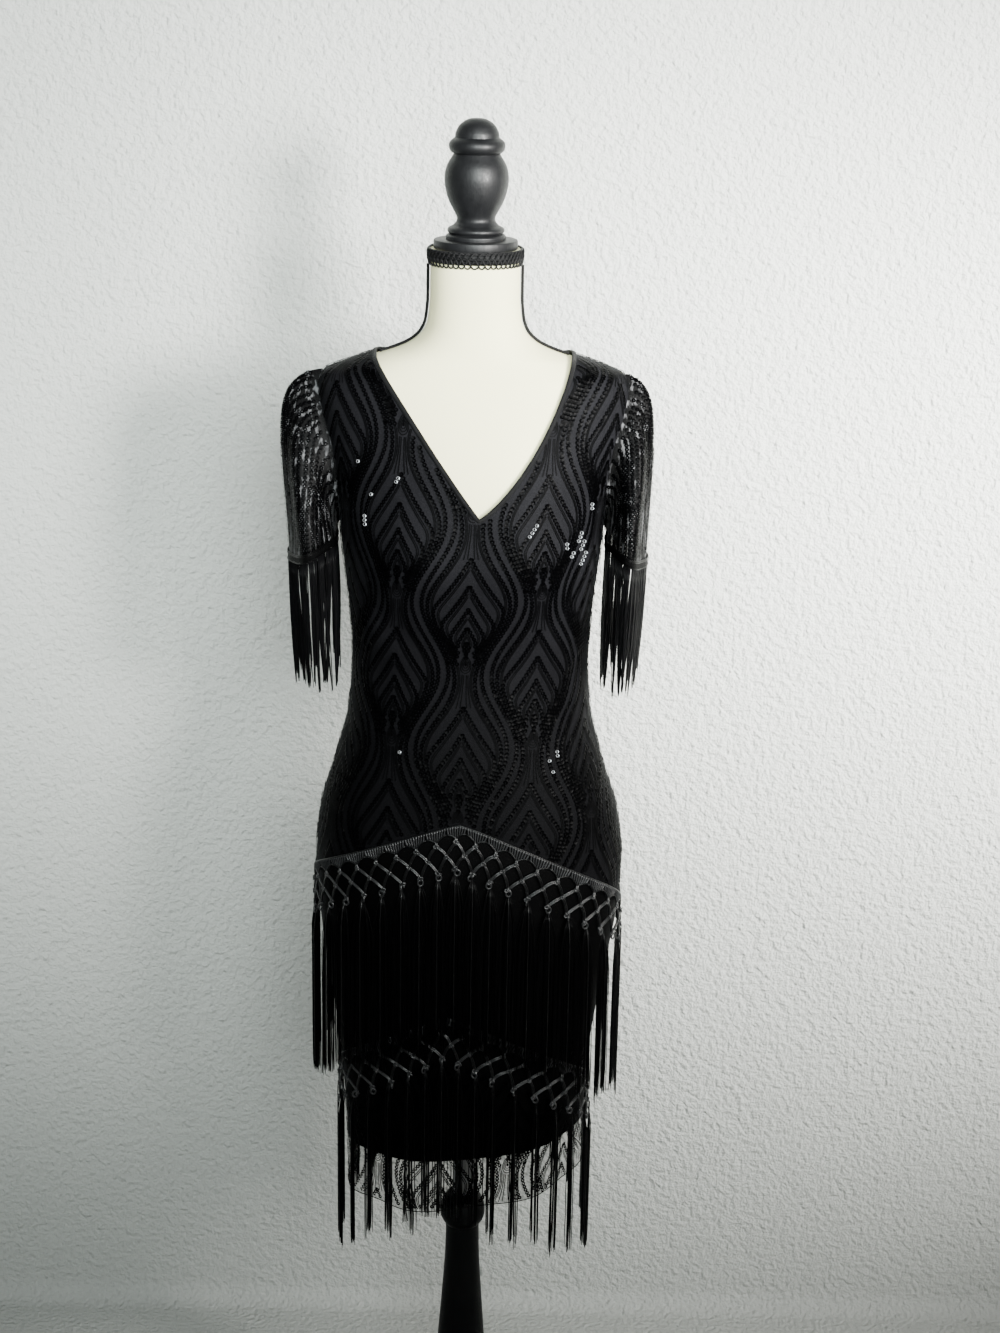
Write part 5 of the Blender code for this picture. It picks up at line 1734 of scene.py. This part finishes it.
def knotted_net(tier):
    """Three rows of knots joined by pairs of cords. Returns the last row's places."""
    count = fan_count(tier)
    step = 1.0 / count
    drops = KNOT_ROW_DROPS
    first = [((index + 0.5) * step, drops[0]) for index in range(count)]
    second = [(min(max(index * step, 0.008), 0.992), drops[1]) for index in range(count + 1)]
    third = [((index + 0.5) * step, drops[2]) for index in range(count)]
    peak = peak_place(tier)
    lit, dim, knots, loops = [], [], [], []
    for index in range(count):
        # Painted light and shade: on each side of the peak one family of diagonal cords takes the satin
        # cord, the other its darker copy.
        beyond = (index + 0.5) * step > peak
        falling, rising = (lit, dim) if beyond else (dim, lit)
        bow = RANDOM.normal(0.0, 0.0004, 4)
        fan = ((index + 0.5) * step, fan_depth(0.0) - 0.0006)
        lit.extend(cord_pair(tier, fan, first[index], 0.0))
        falling.extend(cord_pair(tier, first[index], second[index], 0.0010 + bow[0]))
        rising.extend(cord_pair(tier, first[index], second[index + 1], -0.0010 + bow[1]))
        rising.extend(cord_pair(tier, second[index], third[index], -0.0012 + bow[2]))
        falling.extend(cord_pair(tier, second[index + 1], third[index], 0.0012 + bow[3]))
    for places, size in ((first, 1.0), (second, 0.95), (third, 1.15)):
        for share, down in places:
            place = tier_point(tier, share, down + RANDOM.normal(0.0, 0.0003), HEADER_OUT + KNOT_OUT)
            outward = unit(np.array([place[0], place[1], 0.0]))
            knots.append(knot_path(place, outward, KNOT_SCALE * size, RANDOM.uniform(0, 6.28)))
            if places is third:
                aside = np.cross([0.0, 0.0, 1.0], outward) * RANDOM.normal(0.0, 0.0016)
                low = place + aside + outward * 0.0012 - np.array([0.0, 0.0, LOOP_RADIUS])
                loops.append(loop_path(low, outward, RANDOM.normal(0.0, 0.8)))
    points, groups = join([
        tubes(np.stack(dim), CORD_RADIUS, 6),
        tubes(np.stack(lit), CORD_RADIUS, 6),
        tubes(np.stack(knots), KNOT_CORD, 5),
        tubes(np.stack(loops), LOOP_CORD, 6),
    ])
    picks = np.repeat((1, 1, 0, 0, 0, 0, 0, 0), [len(group) for group in groups])
    item = new_piece("netted_cords_" + tier, points, groups, CORD, extra_materials=(SHADED_CORD,), picks=picks)
    return item, [tier_point(tier, share, down, HEADER_OUT + KNOT_OUT) for share, down in third]


def hanging_threads(tier, roots):
    """A clump of fine threads below each last knot, hanging straight with uneven tips."""
    side = tier_side(tier)
    kind = tier_kind(tier)
    sizes = tier_row(tier)
    count = len(roots)
    t = np.linspace(0.0, 1.0, THREAD_STEPS) ** 1.15
    paths, mains = [], []
    for index, root in enumerate(roots):
        way = (index + 0.5) / count
        reach = sizes["right_reach"] * (1 - way) + sizes["left_reach"] * way - KNOT_ROW_DROPS[2]
        reach -= TIP_SPREAD * 0.5 * (1 + math.sin(2.1 * index + len(tier)))
        threads = THREADS_IN_CLUMP[kind]
        groups = SUB_CLUMPS[kind]
        group = RANDOM.integers(0, groups, threads)
        group_place = (np.arange(groups) + 0.5) / groups * 2 - 1 + RANDOM.normal(0.0, 0.12, groups)
        group_tip = RANDOM.normal(0.0, GROUP_TIP_UNEVEN, groups)
        lateral = group_place[group] * CLUMP_HALF[kind] + RANDOM.normal(0.0, THREAD_ASIDE, threads)
        out = THREAD_OUT + THREAD_OUT_UNEVEN * RANDOM.random(threads) ** 1.3
        tips = reach + group_tip[group] + RANDOM.normal(0.0, TIP_UNEVEN[kind], threads) - 0.004
        lateral[:STRAY_THREADS] *= 1.5
        tips[:STRAY_THREADS] = reach - 0.002
        level = level_at(max(root[2], HEM_Z))
        share = float(share_at_x(side, root[0], level))
        length = float(side_length(side, level))
        spread = np.minimum(1.0, t / 0.22) ** 0.7 * (1.0 + 0.12 * t)
        sway = RANDOM.normal(0.0, THREAD_ASIDE, (threads, 1)) * np.sin(math.pi * t)[None, :] * t[None, :]
        drift = RANDOM.normal(0.0, 0.0009, (threads, 1)) * t[None, :] ** 2
        moved = share - (lateral[:, None] * spread[None, :] + sway + drift) / length
        z = root[2] - THREAD_ROOT_DROP - tips[:, None] * t[None, :]
        outs = THREAD_ROOT_OUT + (out[:, None] - THREAD_ROOT_OUT) * np.minimum(1.0, t / 0.2)[None, :]
        points = hung_point(side, np.clip(moved, 0.0, 1.0), z, np.full_like(z, root[2]), outs)
        near = from_pole(points) < from_pole(root)
        push = unit(np.stack((points[..., 0], points[..., 1], np.zeros_like(z)), axis=-1))
        short = from_pole(root) + 0.001 - from_pole(points)
        points = points + push * np.where(near, short, 0.0)[..., None]
        paths.append(points)
        main_z = root[2] - THREAD_ROOT_DROP - (reach - 0.030 * RANDOM.random()) * t
        main_out = THREAD_ROOT_OUT + (MAIN_CORD_OUT - THREAD_ROOT_OUT) * np.minimum(1.0, t / 0.12)
        mains.append(hung_point(side, np.full_like(t, share), main_z, np.full_like(t, root[2]), main_out))
    points, groups = join([
        tubes(np.concatenate(paths), THREAD_RADIUS[kind], 3, THREAD_TAPER),
        tubes(np.stack(mains), MAIN_CORD_RADIUS, 5, THREAD_TAPER),
    ])
    # The cords under the knots take the satin cord's darker copy: painted shade.
    picks = np.repeat((0, 0, 1, 1), [len(group) for group in groups])
    return new_piece("strands_" + tier, points, groups, THREAD, extra_materials=(SHADED_CORD,), picks=picks)


def fringe_tier(tier):
    header = ribbed_header(tier)
    net, roots = knotted_net(tier)
    strands = hanging_threads(tier, roots)
    for item in (header, net, strands):
        finish_piece(item, (tier,))


def sleeve_fringe(hand):
    """Ribbed header round the sleeve's hem with clumps of threads below it."""
    columns = SLEEVE_FANS * RIBS_IN_FAN * RIB_SAMPLES
    turn = np.linspace(0.0, 2 * math.pi, columns, endpoint=False)
    rib = np.abs(np.sin(turn * SLEEVE_FANS * RIBS_IN_FAN / 2)) ** 0.7
    scallop = 1.0 + 0.22 * np.abs(np.cos(turn * SLEEVE_FANS / 2)) ** 2
    rows = []
    for row in np.linspace(0.0, 1.0, SLEEVE_RIB_ROWS):
        fade = min(1.0, min(row, 1 - row) * 8 + 0.3)
        out = 0.0014 + 0.0007 * rib * fade
        drop = -SLEEVE_HEADER_HEIGHT + row * SLEEVE_HEADER_HEIGHT * scallop
        rows.append(sleeve_hem_point(hand, turn, out, drop))
    faces = grid_faces(SLEEVE_RIB_ROWS, columns, wrap=True, flip=hand == "right")
    cord_turn = np.linspace(0.0, 2 * math.pi, 121)
    drops = (-SLEEVE_HEADER_HEIGHT, -SLEEVE_HEADER_HEIGHT + 0.0018, 0.0006)
    cords = [sleeve_hem_point(hand, cord_turn, SLEEVE_CORD_OUT, drop) for drop in drops]
    points, groups = join([(np.concatenate(rows), [faces]), tubes(np.stack(cords), SLEEVE_CORD, 5)])
    header = new_piece("header_sleeve_" + hand, points, groups, SHADED_SLEEVE_GIMP)

    sign = HAND_SIGN[hand]
    clump = RANDOM.integers(0, SLEEVE_CLUMPS, SLEEVE_THREADS)
    middle = 2 * math.pi * (clump + 0.5) / SLEEVE_CLUMPS
    root_turn = middle + RANDOM.uniform(-1.0, 1.0, SLEEVE_THREADS) * math.pi / SLEEVE_CLUMPS
    clump_tip = RANDOM.normal(0.0, 0.006, SLEEVE_CLUMPS)
    clump_sway = RANDOM.normal(0.0, 0.0024, (SLEEVE_CLUMPS, 2))
    reach = SLEEVE_FRINGE_REACH - 0.010 + clump_tip[clump] + RANDOM.normal(0.0, 0.0020, SLEEVE_THREADS)
    t = np.linspace(0.0, 1.0, THREAD_STEPS)
    root = sleeve_hem_point(hand, root_turn, SLEEVE_ROOT_OUT, SLEEVE_ROOT_DROP)
    gathered = sleeve_hem_point(hand, middle, SLEEVE_ROOT_OUT, SLEEVE_ROOT_DROP)
    z = root[:, 2:3] * (1 - t) + (SLEEVE_HEM_Z - reach)[:, None] * t
    lean = SLEEVE_STRAND_LEAN * (1 + np.cos(root_turn)) / 2
    draw = SLEEVE_GATHER * blend(t / 0.45)
    sway = clump_sway[clump]
    x = root[:, 0:1] * (1 - draw) + gathered[:, 0:1] * draw
    x = x - sign * lean[:, None] * t + sway[:, 0:1] * t ** 1.5
    x = x + RANDOM.normal(0.0, SLEEVE_THREAD_SWAY, (SLEEVE_THREADS, 1)) * np.sin(math.pi * t)
    y = root[:, 1:2] * (1 - draw) + gathered[:, 1:2] * draw + sway[:, 1:2] * t ** 1.5
    y = y + RANDOM.normal(0.0, SLEEVE_THREAD_SWAY, (SLEEVE_THREADS, 1)) * t
    points, groups = tubes(np.stack((x, y, z), axis=-1), THREAD_RADIUS["sleeve"], 3, THREAD_TAPER)
    strands = new_piece("strands_sleeve_" + hand, points, groups, LIT_SLEEVE_THREAD)
    for item in (header, strands):
        finish_piece(item, ("sleeve_fringe_" + hand,))


# Dress form

def form_ring(level):
    """Points round the form at a level, inside the dress by its ease."""
    count = FORM_AROUND // 2
    share = np.arange(count) / count
    front = angle_at("front", share, level)
    back = angle_at("back", 1.0 - share, level)
    angle = np.concatenate((front, back))
    return body_point(angle, level, -section("ease", level), folds=False)


def form_body():
    """The padded torso, smooth from the hips to the top of the neck."""
    levels = np.linspace(level_at(FORM_BOTTOM_Z), level_at(FORM_TOP_Z), FORM_UP)
    rings = [form_ring(level) for level in levels]
    rings[0][:, 2] = FORM_BOTTOM_Z
    rings[-1][:, 2] = FORM_TOP_Z
    points = np.concatenate(rings)
    faces = grid_faces(FORM_UP, FORM_AROUND, wrap=True, flip=True)
    bottom = np.arange(FORM_AROUND)[None]
    top = (np.arange(FORM_AROUND)[::-1] + (FORM_UP - 1) * FORM_AROUND)[None]
    around = np.tile(np.arange(FORM_AROUND) / FORM_AROUND * 0.6, FORM_UP)
    uv = np.stack((around, points[:, 2]), axis=-1)
    item = new_piece("padded_torso", points, [faces, bottom, top], JERSEY, uv=uv)
    item.data.set_sharp_from_angle(angle=math.radians(60))
    finish_piece(item, ("form_torso",))


def neck_braid():
    """Scrolled gimp round the neck's top: two wavy cords between two edge cords."""
    turn = np.linspace(0.0, 2 * math.pi, BRAID_LOOPS * BRAID_STEPS + 1)
    middle = FORM_TOP_Z - NECK_BAND_HEIGHT / 2 + BRAID_STAND

    def around(z, out, turns=turn):
        point = body_point(turns, level_at(np.minimum(z, FORM_TOP_Z)), out, folds=False)
        point[:, 2] = z
        return point

    paths = []
    for height, out in ((0.44, 0.0020), (0.34, 0.0022), (0.05, 0.0024), (-0.12, 0.0024)):
        paths.append(around(np.full_like(turn, middle + height * NECK_BAND_HEIGHT), out))
    waves = (
        (0.0, -0.50, 0.10, True),
        (math.pi, -0.50, 0.10, True),
        (math.pi / 2, 0.05, 0.42, False),
        (1.5 * math.pi, 0.05, 0.42, False),
    )
    for phase, low, high, scalloped in waves:
        if scalloped:
            wave = np.abs(np.sin(BRAID_LOOPS * turn / 2 + phase / 2))
        else:
            wave = np.sin(BRAID_LOOPS * turn + phase) / 2 + 0.5
        z = middle + NECK_BAND_HEIGHT * (low + (high - low) * (1 - wave))
        paths.append(around(z, 0.0026 + 0.0010 * np.cos(BRAID_LOOPS * turn + phase)))
    points, groups = tubes(np.stack(paths), BRAID_CORD, 5)
    backing = []
    for height, out in ((-0.30, 0.0004), (-0.30, 0.0011), (0.46, 0.0011), (0.46, 0.0004)):
        z = np.full(len(turn[:-1:4]), middle + height * NECK_BAND_HEIGHT)
        backing.append(around(z, out, turn[:-1:4]))
    strip = grid_faces(4, len(backing[0]), wrap=True)
    joined, joined_groups = join([(points, groups), (np.concatenate(backing), [strip])])
    item = new_piece("neck_braid", joined, joined_groups, BRAID)
    return finish_piece(item, ("neck_band",))


def neck_piping(hand):
    """Twisted cord down the side of the neck and out along the shoulder."""
    angle = 0.0 if hand == "right" else math.pi
    levels = np.linspace(
        level_at(PIPING_END_Z),
        level_at(FORM_TOP_Z - NECK_BAND_HEIGHT + BRAID_STAND / 2),
        PIPING_STEPS,
    )
    ease = section("ease", levels)
    spine = body_point(np.full_like(levels, angle), levels, PIPING_RADIUS + 2 * GAP - ease, folds=False)
    along = unit(np.gradient(spine, axis=0))
    outward = normal_at(np.full_like(levels, angle), levels)
    beside = unit(np.cross(along, outward))
    lengths = lengths_along(spine)
    paths = []
    for strand in range(3):
        turn = lengths * 2 * math.pi / PIPING_TWIST + strand * 2 * math.pi / 3
        offset = outward * np.cos(turn)[:, None] + beside * np.sin(turn)[:, None]
        paths.append(spine + offset * PIPING_RADIUS * 0.5)
    points, groups = tubes(np.stack(paths), PIPING_RADIUS * 0.58, 6)
    item = new_piece("piping_cord_" + hand, points, groups, BRAID)
    return finish_piece(item, ("piping_" + hand,))


# Turned pieces

def smooth_run(run, steps):
    """A rounded curve through a run's points."""
    points = np.array(run, float)
    if len(points) == 2:
        return np.linspace(points[0], points[1], 3)
    padded = np.vstack((2 * points[0] - points[1], points, 2 * points[-1] - points[-2]))
    t = np.linspace(0.0, 1.0, steps, endpoint=False)[:, None]
    curve = []
    for index in range(1, len(padded) - 2):
        a, b, c, d = padded[index - 1:index + 3]
        curve.append(0.5 * (2 * b + (c - a) * t + (2 * a - 5 * b + 4 * c - d) * t ** 2
                            + (3 * b - a - 3 * c + d) * t ** 3))
    return np.vstack(curve + [points[-1:]])


def turned_piece(name, runs, top_z, low_z, nodes, wood):
    """A lathe turning from smooth runs, closed by a flat underside."""
    outline = []
    for run in runs:
        curve = smooth_run(run, 5)
        outline.extend(curve if not outline else curve[1:])
    profile = dict(zip(PROFILE_COLUMNS, np.array(outline).T))
    radius = np.maximum(profile["radius"], 0.0)
    z = top_z - profile["below_top"]
    z[-1] = low_z
    radius = np.append(radius, 0.0)
    z = np.append(z, low_z)
    radius[0] = 0.0
    turn = np.linspace(0.0, 2 * math.pi, TURN_COUNT, endpoint=False)
    ring_radius, ring_z = radius[1:-1], z[1:-1]
    points = np.stack(np.broadcast_arrays(
        ring_radius[:, None] * np.cos(turn), ring_radius[:, None] * np.sin(turn), ring_z[:, None]), axis=-1)
    points = points.reshape(-1, 3)
    count = len(ring_radius)
    faces = grid_faces(count, TURN_COUNT, wrap=True, flip=True)
    ends = np.array([[0.0, 0.0, z[0]], [0.0, 0.0, low_z]])
    points = np.vstack((points, ends))
    index = np.arange(TURN_COUNT)
    after = (index + 1) % TURN_COUNT
    top = np.stack((np.full(TURN_COUNT, len(points) - 2), index, after), axis=-1)
    last = (count - 1) * TURN_COUNT
    low = np.stack((np.full(TURN_COUNT, len(points) - 1), last + after, last + index), axis=-1)
    item = new_piece(name, points, [faces, top, low], wood)
    item.data.set_sharp_from_angle(angle=math.radians(32))
    return finish_piece(item, nodes)


def turned_pieces():
    turned_piece("turned_finial", FINIAL_RUNS, FINIAL_TOP_Z, DISC_HIGH_Z + GAP, ("finial",), WOOD)
    flat = DISC_RADIUS - DISC_EDGE
    round_x = DISC_RADIUS - 0.3 * DISC_EDGE
    low = DISC_HEIGHT - DISC_EDGE
    disc = (
        ((0.0, 0.0), (flat, 0.0)),
        ((flat, 0.0), (round_x, 0.3 * DISC_EDGE), (DISC_RADIUS, DISC_EDGE)),
        ((DISC_RADIUS, DISC_EDGE), (DISC_RADIUS, low)),
        ((DISC_RADIUS, low), (round_x, DISC_HEIGHT - 0.3 * DISC_EDGE), (flat, DISC_HEIGHT)),
    )
    turned_piece("turned_disc", disc, DISC_HIGH_Z, DISC_LOW_Z, ("neck_disc",), WOOD)
    turned_piece("turned_post", POST_RUNS, POST_TOP_Z, BASE_TOP_Z + GAP, ("post",), SHADED_STAND_WOOD)
    turned_piece("turned_base", BASE_RUNS, BASE_TOP_Z, 0.0, ("stand_base",), SHADED_STAND_WOOD)


# The whole object

def dress():
    front = panel_shell("net_front", "front", -NET_IN, 0.0, 2.0, (NET, SHEER_HEM), LINING_HEM_T)
    back = panel_shell("net_back", "back", -NET_IN, 0.0, 2.0, (NET, SHEER_HEM), LINING_HEM_T)
    for side, item in (("front", front), ("back", back)):
        finish_piece(item, ("dress_" + side,))
        skirt = panel_shell("lining_skirt_" + side, side, -LINING_IN, LINING_HEM_T, LINING_TOP_T, (LINING,))
        finish_piece(skirt, ("lining_" + side,))
        hem_thread(side)
        panel_sequins(side)
        panel_stitches(side)
    for hand in ("left", "right"):
        finish_piece(sleeve_shell(hand), ("sleeve_" + hand,))
        sleeve_sequins(hand)
        sleeve_fringe(hand)
    neck_edge_binding()
    for tier in TIERS:
        fringe_tier(tier)


# The cut of each sheet that shows, with seam allowances: width, length and flat area
SHEET_COLUMNS = ("piece", "width", "length", "area")
SHEETS = (
    ("net_front", 0.56, 1.05, 0.425),
    ("net_back", 0.58, 1.05, 0.452),
    ("sleeve_net_left", 0.34, 0.185, 0.043),
    ("sleeve_net_right", 0.34, 0.185, 0.043),
    ("lining_skirt_front", 0.54, 0.235, 0.116),
    ("lining_skirt_back", 0.55, 0.235, 0.118),
)


def sewn_on(piece):
    """The pieces sewn to a sheet."""
    part = piece.rsplit("_", 1)[1]
    if piece.startswith("lining"):
        return []
    if piece.startswith("sleeve"):
        return [start + "sleeve_" + part for start in ("sequins_", "header_", "strands_")]
    names = [f"sequins_{part}_upper", f"sequins_{part}_lower", "stitches_" + part, "hem_thread_" + part]
    names += ["neck_edge_binding"] if part == "front" else []
    for tier in TIERS:
        if tier.endswith(part):
            names += [start + tier for start in ("header_", "netted_cords_", "strands_")]
    return names


def cut_of_the_cloth():
    for row in SHEETS:
        cut = dict(zip(SHEET_COLUMNS, row))
        sewn_on(cut["piece"])


def form_and_stand():
    form_body()
    neck_braid()
    for hand in ("left", "right"):
        neck_piping(hand)
    turned_pieces()
    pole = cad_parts["pole"]
    pole.material_slots[0].material = STEEL


# Room, lamps and camera

def backdrop():
    """Floor that sweeps up into a wall."""
    turn = np.linspace(0.0, math.pi / 2, 12)
    y = np.concatenate(([FLOOR_FRONT, 0.0], WALL_Y - SWEEP_RADIUS + SWEEP_RADIUS * np.sin(turn), [WALL_Y]))
    z = np.concatenate(([0.0, 0.0], SWEEP_RADIUS * (1 - np.cos(turn)), [WALL_TOP]))
    left = np.stack((np.full_like(y, -WALL_HALF), y, z), axis=-1)
    right = np.stack((np.full_like(y, WALL_HALF), y, z), axis=-1)
    points = np.concatenate((left, right))
    faces = grid_faces(2, len(y), flip=True)
    item = new_piece("backdrop", points, [faces], WALL)


def aim(item, place, target):
    item.location = place
    away = np.array(place) - np.array(target)
    back = unit(away)
    right = unit(np.cross([0.0, 0.0, 1.0], back))
    up = np.cross(back, right)
    turn = Matrix(np.stack((right, up, back), axis=1).tolist())
    item.rotation_euler = turn.to_euler()


def area_lamp(name, place, target, size, power, colour, spread):
    """A round lamp. Its spread is the angle of its beam in degrees."""
    data = bpy.data.lights.new(name, "AREA")
    data.shape = "DISK"
    data.size = size
    data.spread = math.radians(spread)
    data.energy = power
    data.color = colour
    item = bpy.data.objects.new(name, data)
    bpy.context.scene.collection.objects.link(item)
    aim(item, place, target)


def lamps():
    for row in LAMPS:
        area_lamp(**dict(zip(LAMP_COLUMNS, row)))
    world = bpy.data.worlds.new("soft_room")
    bpy.context.scene.world = world
    world.use_nodes = True
    sky = world.node_tree.nodes["Background"]
    sky.inputs["Color"].default_value = SKY_COLOUR
    sky.inputs["Strength"].default_value = SKY_STRENGTH


def camera():
    data = bpy.data.cameras.new("camera")
    data.sensor_fit = "VERTICAL"
    data.sensor_height = SENSOR
    data.sensor_width = SENSOR
    data.lens = CAMERA_LENS
    item = bpy.data.objects.new("camera", data)
    bpy.context.scene.collection.objects.link(item)
    tilt = Matrix.Rotation(math.radians(90.0 - CAMERA_DIP), 4, "X")
    roll = Matrix.Rotation(math.radians(CAMERA_ROLL), 4, "Z")
    item.matrix_world = Matrix.Translation(CAMERA_PLACE) @ tilt @ roll
    bpy.context.scene.camera = item


dress()
form_and_stand()
cut_of_the_cloth()
backdrop()
lamps()
camera()
bpy.context.view_layer.update()
